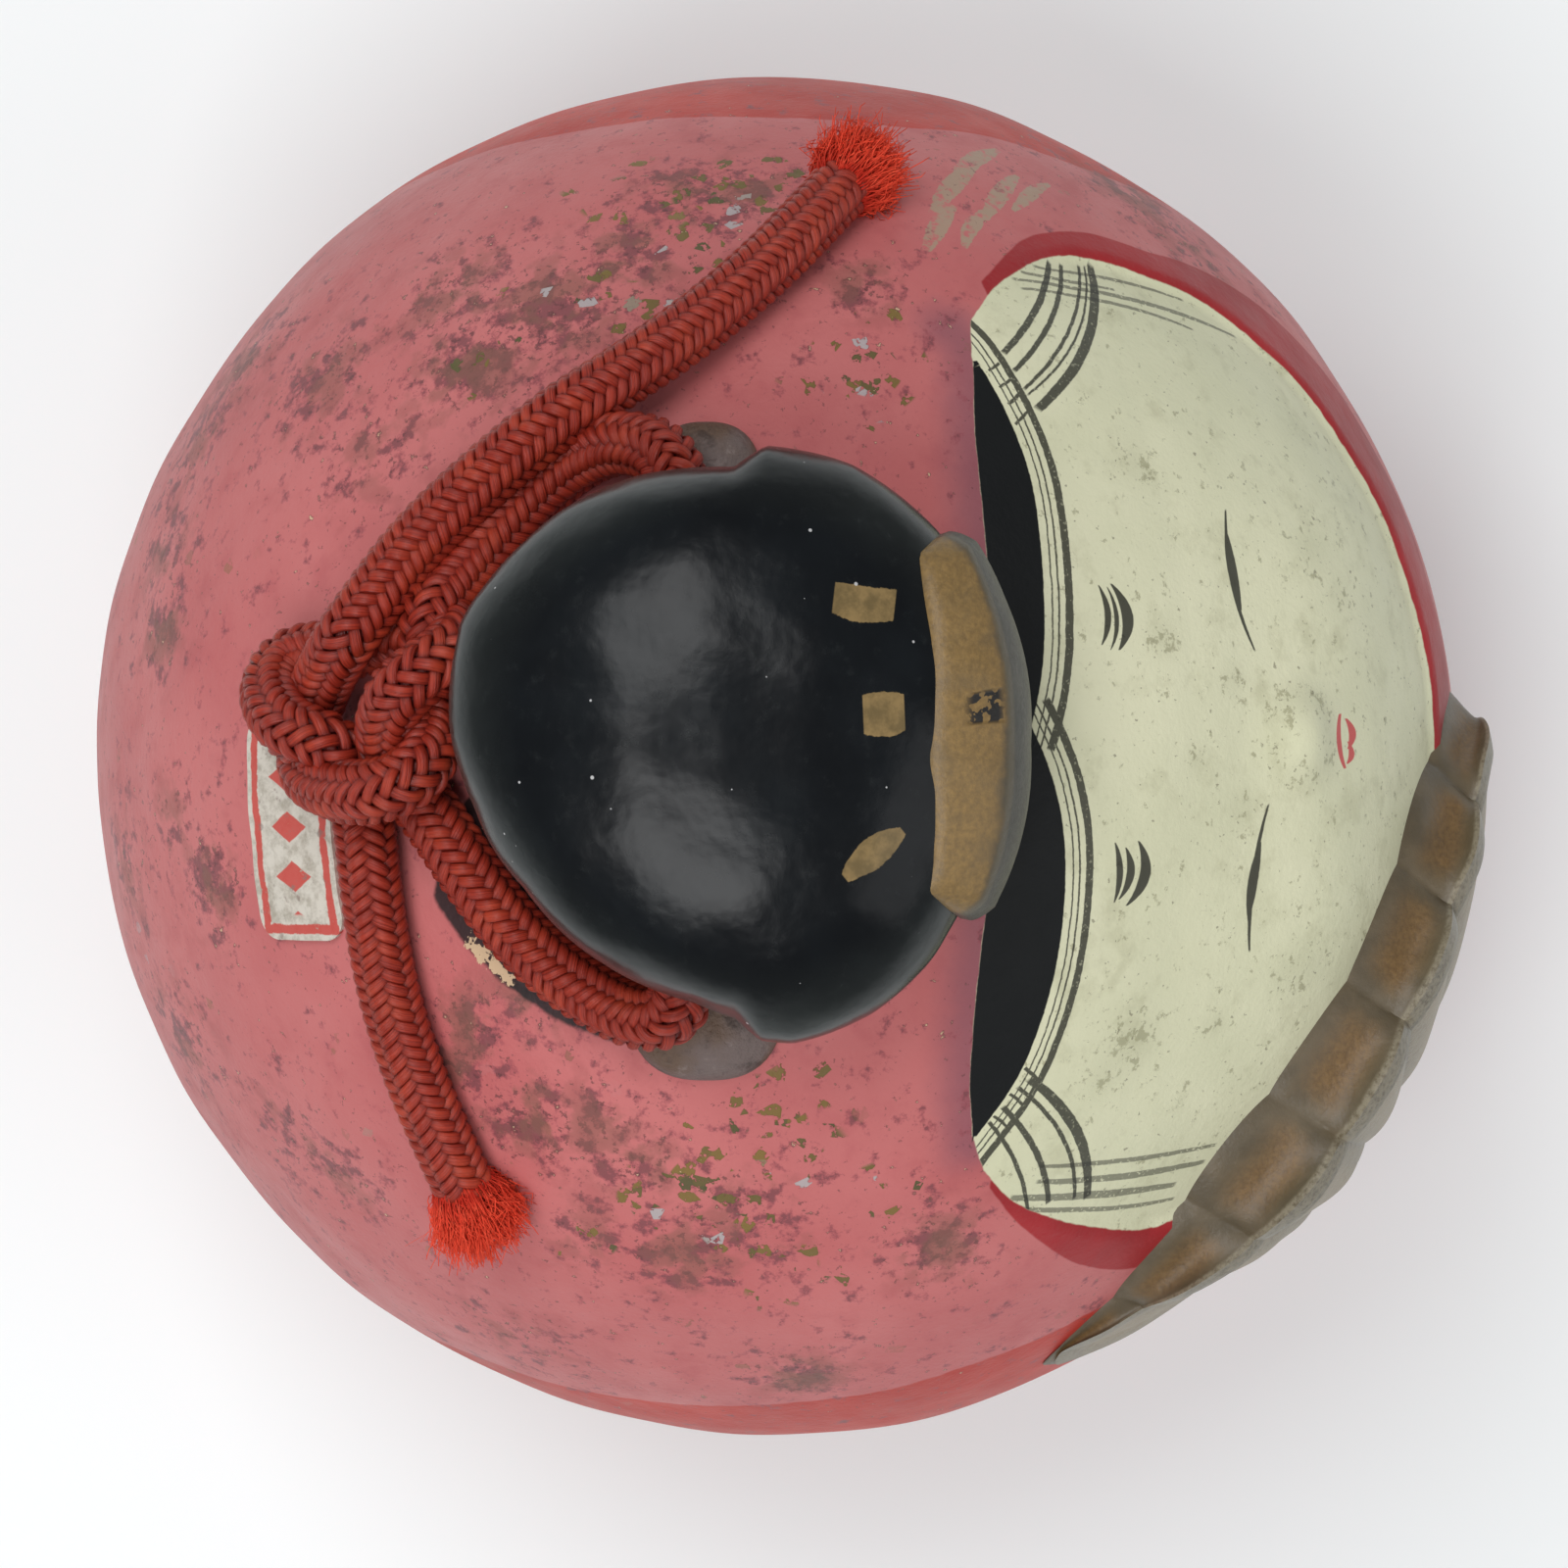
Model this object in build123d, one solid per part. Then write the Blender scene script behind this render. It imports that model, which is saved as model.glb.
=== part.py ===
"""A round clay bell in the form of a princess daruma, with a cord tied behind its topknot.

The doll faces -Y and its left hand is on the +X side. Z is up, and Z = 0 is the flat of the base.
Everything is built round the body's vertical axis, and is moved back by AXIS_Y when it is written, so that
the origin is the middle of the footprint with the fan's relief counted in. Lengths are in millimetres.
"""

import os
from math import acos, cos, degrees, pi, radians, sin, tan

from build123d import *

# Shell
BODY_R = 44.0  # radius at the widest level
WIDEST_Z = 38.0  # height of the widest level
BASE_R = 26.0  # radius of the flat that it stands on
WALL = 4.0
FLOOR_T = 4.0  # thickness of the base at the middle
BOWL_R = 60.0  # radius of the hollow's bowl-shaped floor
SLIT_W = 6.0  # the sounding slit in the base, across the seam
SLIT_L = 34.0
NOSE_R = 3.6
NOSE_OUT = 1.1  # how far the nose stands out of the dome
NOSE_TILT = 46.7  # degrees from straight up to the nose

# Topknot
BUN_X, BUN_Y = 0.3, 2.4  # its middle, off the body's axis
BUN_R = 15.9
BUN_NECK_R = 13.6
BUN_WIDE_Z = 90.5
BUN_TOP_Z = 99.5
BUN_NECK_Z = 82.5
BUN_FOOT_R = 14.6
TUNNEL_Y, TUNNEL_Z = 4.9, 84.2
TUNNEL_R = 2.2
COMB_AT = (1.5, -12.2)  # middle of the comb's crest seen from above
COMB_HALF = (10.6, 4.6)
COMB_T = 0.9  # how far the crest stands out of the topknot
COMB_LOW_Z, COMB_HIGH_Z = 85.5, 98.0
BAR_Y, BAR_Z = 3.9, 79.4
BAR_LEFT = (15.8, 3.3, 1.7)  # middle in x, radius, half height
BAR_RIGHT = (-14.5, 4.6, 1.6)

# Folding fan in relief at the chest, on the doll's right
FAN_RELIEF = 1.8  # at the widest level; the leaf is flatter than the body, so its edges stand out more
FAN_FACE_R = 75.0  # radius of the leaf's face from top to bottom
FAN_TURN = -28.0  # degrees round the body from straight ahead
FAN_PIVOT_Z = 31.0
FAN_R = 31.5
FAN_HALF_ANGLE = 61.0
FAN_FOLDS = 8
FAN_SCALLOP_R = 4.2
FAN_HEEL_R = 4.0  # half width of the fan's heel

# Label patch on the back
LABEL_T = 0.3
LABEL_W, LABEL_H = 13.4, 6.8
LABEL_X = -4.4
LABEL_TILT = 40.6  # degrees from straight up to the patch's middle
LABEL_CORNER = 1.5

# Loose pellet
PELLET_R = 5.0
PELLET_GAP = 0.3  # above the bowl

# Cord
CORD_R = 1.7
TIP_R = 2.6  # radius of a frayed tip at its end
TIP_L = 4.6
KNOT_AT = (0.9, 23.6)
KNOT_R = 6.0
KNOT_HALF_T = 3.3
KNOT_UP = 3.4  # from the dome to the knot's middle

# Routes of the cord, by hand: from the tunnel's mouth to the knot, and from the knot to the frayed tip
LOOP_LEFT = [
    (11.6, 4.9, 84.2),
    (16.4, 4.9, 84.2),
    (18.7, 7.4, 82.2),
    (17.2, 11.2, 80.3),
    (14.2, 14.8, 79.9),
    (10.6, 17.8, 79.7),
    (7.0, 20.2, 79.6),
    (3.2, 22.2, 79.8),
]
LOOP_RIGHT = [
    (-11.2, 4.9, 84.2),
    (-15.2, 4.9, 84.2),
    (-17.0, 7.2, 82.8),
    (-15.8, 10.4, 80.9),
    (-12.6, 13.9, 80.3),
    (-9.0, 16.8, 80.0),
    (-5.9, 19.7, 79.9),
    (-2.2, 22.0, 79.6),
]
TAIL_LONG = [
    (2.6, 26.6, 78.8),
    (7.0, 25.2, 78.0),
    (12.0, 21.4, 78.0),
    (16.9, 16.6, 78.3),
    (20.8, 10.9, 77.9),
    (24.3, 5.2, 76.9),
    (28.6, -0.2, 74.2),
    (32.8, -3.9, 70.0),
]
TAIL_SHORT = [
    (-1.6, 25.4, 78.2),
    (-5.6, 23.8, 77.6),
    (-10.6, 22.4, 76.9),
    (-16.2, 21.8, 75.2),
    (-21.6, 20.2, 73.2),
    (-25.6, 18.5, 71.2),
]

AXIS_Y = FAN_RELIEF / 2
WALL_ARC_R = (WIDEST_Z**2 + (BODY_R - BASE_R) ** 2) / (2 * (BODY_R - BASE_R))
BOWL_Z = FLOOR_T + BOWL_R


def revolved(outline):
    """The solid that a closed outline of radius and height sweeps round the Z axis."""
    return revolve(Plane.XZ * make_face(outline), Axis.Z)


def body_form(grow):
    """The body's full outer form, made larger by grow on every side but the base."""
    widest = BODY_R + grow
    low_r = WALL_ARC_R + grow
    low_angle = -degrees(acos((WALL_ARC_R - BODY_R + BASE_R) / WALL_ARC_R))
    under = CenterArc((BODY_R - WALL_ARC_R, WIDEST_Z), low_r, low_angle, -low_angle)
    dome = CenterArc((0, WIDEST_Z), widest, 0, 90)
    base = under @ 0
    rest = Polyline(dome @ 1, (0, base.Y), base)
    return revolved(under + dome + rest)


def on_dome(x, y, up=0.0):
    """The point over (x, y) that stands up millimetres off the dome, and the dome's normal there."""
    z = ((BODY_R + up) ** 2 - x**2 - y**2) ** 0.5
    return Vector(x, y, WIDEST_Z + z), Vector(x, y, z).normalized()


def hollow():
    """The bell's inside: the outer form less the wall, with a bowl-shaped floor for the pellet."""
    inside = body_form(-WALL)
    bowl = Pos(0, 0, BOWL_Z) * Sphere(BOWL_R)
    return inside & bowl


def shell_halves():
    """The two moulded halves, which meet at the seam plane through the axis."""
    nose_dir = Vector(0, -sin(radians(NOSE_TILT)), cos(radians(NOSE_TILT)))
    nose_at = Vector(0, 0, WIDEST_Z) + nose_dir * (BODY_R + NOSE_OUT - NOSE_R)
    slit = extrude(SlotOverall(SLIT_L, SLIT_W), 3 * FLOOR_T, both=True)
    shell = body_form(0) + Pos(*nose_at) * Sphere(NOSE_R) - hollow() - slit
    half = Box(4 * BODY_R, 2 * BODY_R, 4 * BODY_R)
    return shell & Pos(0, -BODY_R, 0) * half, shell & Pos(0, BODY_R, 0) * half


def tunnel(radius, length):
    """A rod along the cord's tunnel through the topknot's foot."""
    return Pos(BUN_X, TUNNEL_Y, TUNNEL_Z) * Rot(0, 90, 0) * Cylinder(radius, length)


def pouf(grow):
    """The topknot's outer form, waisted where it stands on the dome, made larger by grow."""
    foot_z = WIDEST_Z + (BODY_R**2 - BUN_R**2) ** 0.5 - 1.5
    neck = (BUN_NECK_R + grow, BUN_NECK_Z)
    top = (0, BUN_TOP_Z + grow)
    foot = Polyline(neck, (BUN_FOOT_R + grow, foot_z), (0, foot_z), top)
    shoulder = (BUN_R * 0.62 + grow, BUN_TOP_Z - 1.9 + grow)
    side = Spline(top, shoulder, (BUN_R + grow, BUN_WIDE_Z), neck, tangents=[(1, 0), (-0.75, -1)])
    return Pos(BUN_X, BUN_Y, 0) * revolved(foot + side)


def topknot():
    """The hair tied up in a pouf, with the cord's tunnel through its foot."""
    return pouf(0) - body_form(0) - tunnel(TUNNEL_R, 4 * BUN_R)


def comb():
    """The crest of a comb that is pushed into the front of the topknot."""
    crest = Pos(*COMB_AT, COMB_LOW_Z) * extrude(Ellipse(*COMB_HALF), COMB_HIGH_Z - COMB_LOW_Z)
    return crest & (pouf(COMB_T) - pouf(0))


def rounded_disc(radius, half_height):
    """A disc with a full round edge."""
    flat = radius - half_height
    edge = CenterArc((flat, 0), half_height, -90, 180)
    rest = Polyline(edge @ 1, (0, half_height), (0, -half_height), edge @ 0)
    return revolved(edge + rest)


def hair_bar_end(at_x, radius, half_height):
    """One flared end of the hair bar, which stands out at the topknot's foot under the cord."""
    lump = Pos(at_x, BAR_Y, BAR_Z) * rounded_disc(radius, half_height)
    return lump - pouf(0) - body_form(0)


def fan():
    """An open folding fan in low relief, wrapped on the body, with one scallop at the end of each fold."""
    step = 2 * FAN_HALF_ANGLE / FAN_FOLDS
    tilts = [-FAN_HALF_ANGLE + step * (i + 0.5) for i in range(FAN_FOLDS)]
    reach = FAN_R - FAN_SCALLOP_R
    ends = [(reach * sin(radians(a)), reach * cos(radians(a))) for a in tilts]
    outline = [(-FAN_HEEL_R, 0), ends[0], *ends[1:-1], ends[-1], (FAN_HEEL_R, 0)]
    leaf = make_face(Polyline(*outline, close=True))
    for end in ends:
        leaf += Pos(*end) * Circle(FAN_SCALLOP_R)
    ahead = Plane(origin=(0, 0, FAN_PIVOT_Z), x_dir=(1, 0, 0), z_dir=(0, -1, 0))
    prism = extrude(ahead * leaf, 2 * BODY_R)
    face = CenterArc((BODY_R + FAN_RELIEF - FAN_FACE_R, WIDEST_Z), FAN_FACE_R, -30, 60)
    inner = Polyline(face @ 1, (0, (face @ 1).Y), (0, (face @ 0).Y), face @ 0)
    turned = Rot(0, 0, FAN_TURN) * prism
    return turned & (revolved(face + inner) - body_form(0))


def back_label():
    """A thin patch on the back of the dome."""
    out = Vector(0, sin(radians(LABEL_TILT)), cos(radians(LABEL_TILT)))
    face = Plane(origin=(LABEL_X, 0, WIDEST_Z), x_dir=(-1, 0, 0), z_dir=out)
    patch = extrude(face * RectangleRounded(LABEL_W, LABEL_H, LABEL_CORNER), 2 * BODY_R)
    return patch & (body_form(LABEL_T) - body_form(0))


def pellet():
    """The loose clay pellet, at the bottom of the bowl."""
    return Pos(0, 0, FLOOR_T + PELLET_GAP + PELLET_R) * Sphere(PELLET_R)


def arc_radii(points):
    """The largest tangent arc at each inner point of a route: 0.45 of the shorter run over tan(half turn)."""
    radii = []
    for before, here, after in zip(points, points[1:], points[2:], strict=False):
        run_in = Vector(*here) - Vector(*before)
        run_out = Vector(*after) - Vector(*here)
        half_turn = radians(run_in.get_angle(run_out)) / 2
        radii.append(0.45 * min(run_in.length, run_out.length) / tan(half_turn))
    return radii


def cord(name, points):
    """A round cord along straight runs joined by tangent arcs."""
    radii = arc_radii(points)
    path = FilletPolyline(*points, radius=radii)
    tube = sweep(Plane(origin=path @ 0, z_dir=path % 0) * Circle(CORD_R), path)
    section = pi * CORD_R**2 * path.length
    print(
        f"{name}: {path.length:.1f} mm, volume {tube.volume / section:.3f} of section x length,",
        "arcs " + " ".join(f"{r:.1f}" for r in radii),
    )
    return tube


def knot():
    """The outer form of the reef knot, lying on the dome behind the topknot."""
    middle, out = on_dome(*KNOT_AT, KNOT_UP)
    lying = Plane(origin=middle, x_dir=(1, 0, 0), z_dir=out)
    return lying.location * rounded_disc(KNOT_R, KNOT_HALF_T)


def frayed_tip(points):
    """A frayed end: a short tuft that flares from the cord's last run."""
    end = Vector(*points[-1])
    along = (end - Vector(*points[-2])).normalized()
    tuft = Cone(CORD_R, TIP_R, TIP_L, align=(Align.CENTER, Align.CENTER, Align.MIN))
    return Plane(origin=end, z_dir=along).location * tuft - body_form(0)


def build():
    front, rear = shell_halves()
    tied = knot()
    loop_left = cord("cord_loop_left", LOOP_LEFT)
    loop_right = cord("cord_loop_right", LOOP_RIGHT)
    tail_long = cord("cord_tail_long", TAIL_LONG)
    tail_short = cord("cord_tail_short", TAIL_SHORT)
    inner = LOOP_LEFT[0][0] - LOOP_RIGHT[0][0]
    middle = (LOOP_LEFT[0][0] + LOOP_RIGHT[0][0]) / 2
    return {
        "body_front_shell": front,
        "body_rear_shell": rear,
        "topknot": topknot(),
        "comb": comb(),
        "hair_bar_left": hair_bar_end(*BAR_LEFT),
        "hair_bar_right": hair_bar_end(*BAR_RIGHT),
        "fan": fan(),
        "back_label": back_label(),
        "rattle_ball": pellet(),
        "cord_in_tunnel": Pos(middle - BUN_X, 0, 0) * tunnel(CORD_R, inner),
        "cord_loop_left": loop_left - tied,
        "cord_loop_right": loop_right - tied,
        "cord_knot": tied,
        "cord_tail_long": tail_long - tied,
        "cord_tail_short": tail_short - tied,
        "cord_tip_long": frayed_tip(TAIL_LONG),
        "cord_tip_short": frayed_tip(TAIL_SHORT),
    }


os.makedirs("parts", exist_ok=True)
for node, solid in build().items():
    export_step(Pos(0, AXIS_Y, 0) * solid, f"parts/{node}.step")
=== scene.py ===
"""A princess daruma bell: the looks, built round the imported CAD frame.

Lengths in this script are millimetres in the body's own frame: its axis is X = Y = 0, it stands on Z = 0,
it faces -Y, and its left hand is on the +X side. place() turns them into the row frame's metres.
"""

from math import acos, cos, degrees, pi, radians, sin, sqrt

import bmesh
import bpy
import numpy as np
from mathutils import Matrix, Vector


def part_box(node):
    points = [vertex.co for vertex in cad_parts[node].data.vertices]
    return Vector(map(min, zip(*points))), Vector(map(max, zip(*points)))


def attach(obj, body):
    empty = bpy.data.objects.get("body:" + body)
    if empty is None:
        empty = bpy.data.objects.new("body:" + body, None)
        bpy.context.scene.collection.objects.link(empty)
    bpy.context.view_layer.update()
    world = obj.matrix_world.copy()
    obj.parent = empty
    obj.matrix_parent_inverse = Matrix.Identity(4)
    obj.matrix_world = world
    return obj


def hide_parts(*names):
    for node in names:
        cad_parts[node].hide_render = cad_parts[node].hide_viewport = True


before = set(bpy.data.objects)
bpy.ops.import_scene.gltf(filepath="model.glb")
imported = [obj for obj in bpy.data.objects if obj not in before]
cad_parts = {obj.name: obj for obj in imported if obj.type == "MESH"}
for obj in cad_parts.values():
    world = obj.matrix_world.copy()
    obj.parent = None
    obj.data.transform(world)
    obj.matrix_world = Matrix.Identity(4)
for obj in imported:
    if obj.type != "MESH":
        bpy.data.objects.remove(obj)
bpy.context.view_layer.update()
MM = 0.001

# Body, from the frame
_front_low, _front_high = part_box("body_front_shell")
_rear_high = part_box("body_rear_shell")[1]
BODY_R = (_front_high.x - _front_low.x) / 2 / MM
AXIS_Y = _front_high.y / MM
WIDEST_Z = _rear_high.z / MM - BODY_R
BASE_R = 26.0
WALL = 4.0
FLOOR_T = 4.0
BOWL_R = 60.0
SLIT_W, SLIT_L = 6.0, 34.0
UNDER_R = (WIDEST_Z**2 + (BODY_R - BASE_R) ** 2) / (2 * (BODY_R - BASE_R))
FACE_TILT = radians(46.7)  # from straight up to the middle of the face

# Topknot
BUN_AT = (0.3, 2.4)
BUN_WIDE_Z, BUN_TOP_Z = 90.5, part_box("topknot")[1].z / MM

# Cord. The routes are drawn to the photo and lie up to 4.3 mm from the CAD's cord.
# The turns of the knot, which the CAD has as one closed solid, lie between the loops and the tails.
CORD_D = 3.4
MOUTH_LEFT, MOUTH_RIGHT = (14.2, 4.9, 84.2), (-13.7, 4.9, 84.2)
TUNNEL_START_LEFT = [(1.0, 4.9, 84.2), (6.5, 4.9, 84.3), (12.4, 4.9, 84.2)]
TUNNEL_START_RIGHT = [(-0.4, 4.9, 84.2), (-6.0, 4.9, 84.3), (-11.6, 4.9, 84.2)]
LOOP_LEFT = [
    (16.7, 5.6, 83.4), (17.9, 8.3, 81.0), (17.2, 10.9, 79.0), (15.4, 13.4, 78.8), (12.8, 15.7, 79.0),
    (10.0, 18.0, 79.3),
]
KNOT_LEFT = [
    (7.6, 19.8, 80.7), (3.7, 19.6, 80.2), (0.9, 19.3, 80.9), (-1.6, 20.4, 83.0), (-2.6, 23.4, 82.1),
    (-1.8, 26.9, 77.6), (1.2, 27.4, 74.9), (4.2, 26.2, 76.9), (6.4, 24.7, 79.9),
]
TAIL_LONG = [
    (7.9, 23.6, 80.2), (11.9, 20.7, 80.1), (15.3, 17.1, 80.7), (19.2, 12.4, 80.7), (21.8, 8.4, 79.2),
    (24.8, 4.4, 76.9), (28.1, 0.8, 74.3), (31.3, -2.1, 71.4), (34.0, -4.3, 68.3),
]
LOOP_RIGHT = [
    (-15.1, 5.4, 83.6), (-15.4, 7.5, 82.3), (-14.3, 10.0, 81.0), (-12.3, 12.9, 80.4),
    (-9.8, 15.4, 80.2), (-6.8, 17.6, 80.1),
]
KNOT_RIGHT = [
    (-4.4, 19.2, 79.5), (-2.4, 20.7, 78.6), (0.0, 22.2, 79.6), (2.7, 22.0, 82.6), (4.4, 20.1, 83.8),
    (5.8, 18.0, 82.8), (7.3, 17.9, 79.9), (7.0, 20.9, 78.2), (5.9, 25.0, 75.9), (5.6, 28.4, 74.2),
    (3.6, 29.5, 76.1), (1.2, 28.2, 79.0), (0.4, 25.2, 79.8), (-1.7, 24.3, 77.0),
]
TAIL_SHORT = [
    (-3.9, 23.8, 77.0), (-6.8, 23.5, 77.0), (-10.5, 23.1, 76.3), (-14.5, 22.4, 75.3),
    (-18.6, 21.2, 74.1), (-22.7, 19.6, 72.6), (-26.2, 18.1, 71.0),
]


# ---------------------------------------------------------------- meshes


def place(points):
    """Body frame millimetres to row frame metres."""
    return (np.asarray(points, float).reshape(-1, 3) + (0, AXIS_Y, 0)) * MM


def make_piece(name, points, faces, material):
    """A smooth-shaded mesh object from millimetre points, riding on the doll."""
    mesh = bpy.data.meshes.new(name)
    mesh.from_pydata(place(points).tolist(), [], [list(map(int, f)) for f in faces])
    mesh.polygons.foreach_set("use_smooth", [True] * len(mesh.polygons))
    mesh.materials.append(material)
    mesh.update()
    piece = bpy.data.objects.new(name, mesh)
    bpy.context.scene.collection.objects.link(piece)
    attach(piece, "doll")
    return piece


def set_values(piece, name, values):
    """Stores one number or one vector for each vertex."""
    values = np.asarray(values, np.float32)
    kind, field = ("FLOAT", "value") if values.ndim == 1 else ("FLOAT_VECTOR", "vector")
    layer = piece.data.attributes.new(name, kind, "POINT")
    layer.data.foreach_set(field, values.ravel())


def grid_faces(rows, columns, wrap_columns=False, wrap_rows=False, start=0):
    """Quads over a grid of points that is stored row by row."""
    r = np.arange(rows if wrap_rows else rows - 1)
    c = np.arange(columns if wrap_columns else columns - 1)
    r, c = (a.ravel() for a in np.meshgrid(r, c, indexing="ij"))
    r2, c2 = (r + 1) % rows, (c + 1) % columns
    quads = [r * columns + c, r * columns + c2, r2 * columns + c2, r2 * columns + c]
    return np.stack(quads, 1) + start


def tube_faces(rows, ring, start):
    """Faces of a tube of rings, closed at both ends."""
    faces = grid_faces(rows, ring, wrap_columns=True, start=start).tolist()
    first = np.arange(ring) + start
    return faces + [first[::-1].tolist(), (first + (rows - 1) * ring).tolist()]


def sheet_faces(rows, columns):
    """Faces of two grids, one stored after the other, that are joined round their rim."""
    count = rows * columns
    rim = np.r_[
        np.arange(columns),
        np.arange(1, rows) * columns + columns - 1,
        (rows - 1) * columns + np.arange(columns - 1)[::-1],
        np.arange(1, rows - 1)[::-1] * columns,
    ]
    following = np.roll(rim, -1)
    sides = np.stack([rim, following, following + count, rim + count], 1)
    return np.vstack([grid_faces(rows, columns), grid_faces(rows, columns, start=count)[:, ::-1], sides])


def smooth_step(share):
    return share * share * (3 - 2 * share)


def face_outward(piece):
    """Turns every face of a closed piece to look outwards."""
    work = bmesh.new()
    work.from_mesh(piece.data)
    bmesh.ops.recalc_face_normals(work, faces=work.faces)
    work.to_mesh(piece.data)
    work.free()


def mark_sharp(piece, degrees_limit):
    """Marks the edges that turn more than a limit, so that smooth shading stops there."""
    bpy.context.view_layer.objects.active = piece
    piece.data.set_sharp_from_angle(angle=radians(degrees_limit))


def smooth_curve(points, samples):
    """Points along a Catmull-Rom curve through a list of points."""
    p = np.asarray(points, float)
    p = np.vstack([2 * p[0] - p[1], p, 2 * p[-1] - p[-2]])
    spans = len(p) - 3
    t = np.linspace(0, spans, samples)
    k = np.minimum(t.astype(int), spans - 1)
    u = (t - k)[:, None]
    a, b, c, d = p[k], p[k + 1], p[k + 2], p[k + 3]
    return 0.5 * (2 * b + (c - a) * u + (2 * a - 5 * b + 4 * c - d) * u**2 + (3 * b - a - 3 * c + d) * u**3)


def wave_noise(points, size, seed):
    """A smooth, repeatable unevenness between about -1 and 1, with bumps of roughly the given size in mm."""
    random = np.random.default_rng(seed)
    total = np.zeros(len(points))
    for _ in range(7):
        way = random.normal(size=3)
        way *= 2 * pi / (size * random.uniform(0.7, 1.6)) / np.linalg.norm(way)
        total += np.sin(points @ way + random.uniform(0, 2 * pi))
    return total / 3.5


# ---------------------------------------------------------------- materials


def srgb(red, green, blue):
    """A linear colour from the 0-255 values that an eye would name."""
    levels = [v / 255 for v in (red, green, blue)]
    return tuple(v / 12.92 if v <= 0.04045 else ((v + 0.055) / 1.055) ** 2.4 for v in levels) + (1.0,)


class Finish:
    """A node material being made. Each method adds a node and gives back its output."""

    def __init__(self, name, roughness, specular):
        self.material = bpy.data.materials.new(name)
        self.material.use_nodes = True
        self.tree = self.material.node_tree
        self.shader = self.tree.nodes["Principled BSDF"]
        self.shader.inputs["Roughness"].default_value = roughness
        self.shader.inputs["Specular IOR Level"].default_value = specular
        in_millimetres = self.node("VectorMath", operation="SCALE")
        in_millimetres.inputs["Scale"].default_value = 1 / MM
        self.feed(self.node("TexCoord").outputs["Object"], in_millimetres.inputs[0])
        self.where = in_millimetres.outputs["Vector"]

    def node(self, kind, **settings):
        made = self.tree.nodes.new("ShaderNode" + kind)
        for key, value in settings.items():
            setattr(made, key, value)
        return made

    def feed(self, value, socket):
        if isinstance(value, bpy.types.NodeSocket):
            self.tree.links.new(value, socket)
        elif value is not None:
            socket.default_value = value

    def math(self, operation, a, b=None, c=None):
        made = self.node("Math", operation=operation)
        for value, socket in zip((a, b, c), made.inputs):
            self.feed(value, socket)
        return made.outputs[0]

    def add(self, a, b):
        return self.math("ADD", a, b)

    def times(self, a, b):
        return self.math("MULTIPLY", a, b)

    def scaled(self, value, factor, offset):
        """value * factor + offset"""
        return self.math("MULTIPLY_ADD", value, factor, offset)

    def distance(self, a, b):
        return self.math("ABSOLUTE", self.math("SUBTRACT", a, b))

    def split(self, vector):
        made = self.node("SeparateXYZ")
        self.feed(vector, made.inputs[0])
        return list(made.outputs)

    def mask(self, value, low, high):
        """0 below low and 1 above high, or the other way round where low is the larger."""
        made = self.node("MapRange", interpolation_type="SMOOTHSTEP")
        for item, socket in zip((value, low, high), made.inputs):
            self.feed(item, socket)
        return made.outputs[0]

    def mix(self, factor, a, b):
        """a where the factor is 0 and b where it is 1."""
        made = self.node("Mix", data_type="RGBA")
        self.feed(factor, made.inputs[0])
        self.feed(a, made.inputs[6])
        self.feed(b, made.inputs[7])
        return made.outputs[2]

    def noise(self, size, detail=3.0, rough=0.55, where=None):
        """Noise from 0 to 1 with features of about size mm."""
        made = self.node("TexNoise")
        self.feed(where or self.where, made.inputs["Vector"])
        made.inputs["Scale"].default_value = 1 / size
        made.inputs["Detail"].default_value = detail
        made.inputs["Roughness"].default_value = rough
        return made.outputs["Fac"]

    def cells(self, size):
        """A Voronoi pattern with cells of about size mm."""
        made = self.node("TexVoronoi")
        self.feed(self.where, made.inputs["Vector"])
        made.inputs["Scale"].default_value = 1 / size
        return made.outputs

    def value(self, name, vector=False):
        made = self.node("Attribute", attribute_name=name)
        return made.outputs["Vector" if vector else "Fac"]

    def either(self, *masks):
        total = masks[0]
        for other in masks[1:]:
            total = self.math("MAXIMUM", total, other)
        return total

    def both(self, *masks):
        total = masks[0]
        for other in masks[1:]:
            total = self.math("MULTIPLY", total, other)
        return total

    def finish(self, colour, roughness=None, height=None, depth=0.1):
        """Connects the colour, the roughness and a bump whose height of 1 is depth mm."""
        self.feed(colour, self.shader.inputs["Base Color"])
        self.feed(roughness, self.shader.inputs["Roughness"])
        if height is not None:
            bump = self.node("Bump")
            bump.inputs["Strength"].default_value = 1.0
            bump.inputs["Distance"].default_value = depth * MM
            self.feed(height, bump.inputs["Height"])
            self.tree.links.new(bump.outputs["Normal"], self.shader.inputs["Normal"])
        return self.material


# ---------------------------------------------------------------- camera, light and floor

CAMERA_AT = (-1.9, -0.64, 388.0)
CAMERA_LENS = 122.85
FLOOR_SIDE = 6000.0


def add_camera():
    camera = bpy.data.objects.new("camera", bpy.data.cameras.new("camera"))
    camera.data.lens = CAMERA_LENS
    camera.location = place(CAMERA_AT)[0]
    camera.rotation_euler = (0, 0, -pi / 2)
    bpy.context.scene.collection.objects.link(camera)
    bpy.context.scene.camera = camera


def add_softbox(name, at, size, watts):
    """A square area light that points at the doll."""
    light = bpy.data.lights.new(name, "AREA")
    light.shape = "SQUARE"
    light.size = size * MM
    light.energy = watts
    lamp = bpy.data.objects.new(name, light)
    lamp.location = Vector(place(at)[0])
    aim = Vector(place((0, 0, 50))[0]) - lamp.location
    lamp.rotation_euler = aim.to_track_quat("-Z", "Y").to_euler()
    bpy.context.scene.collection.objects.link(lamp)


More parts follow.
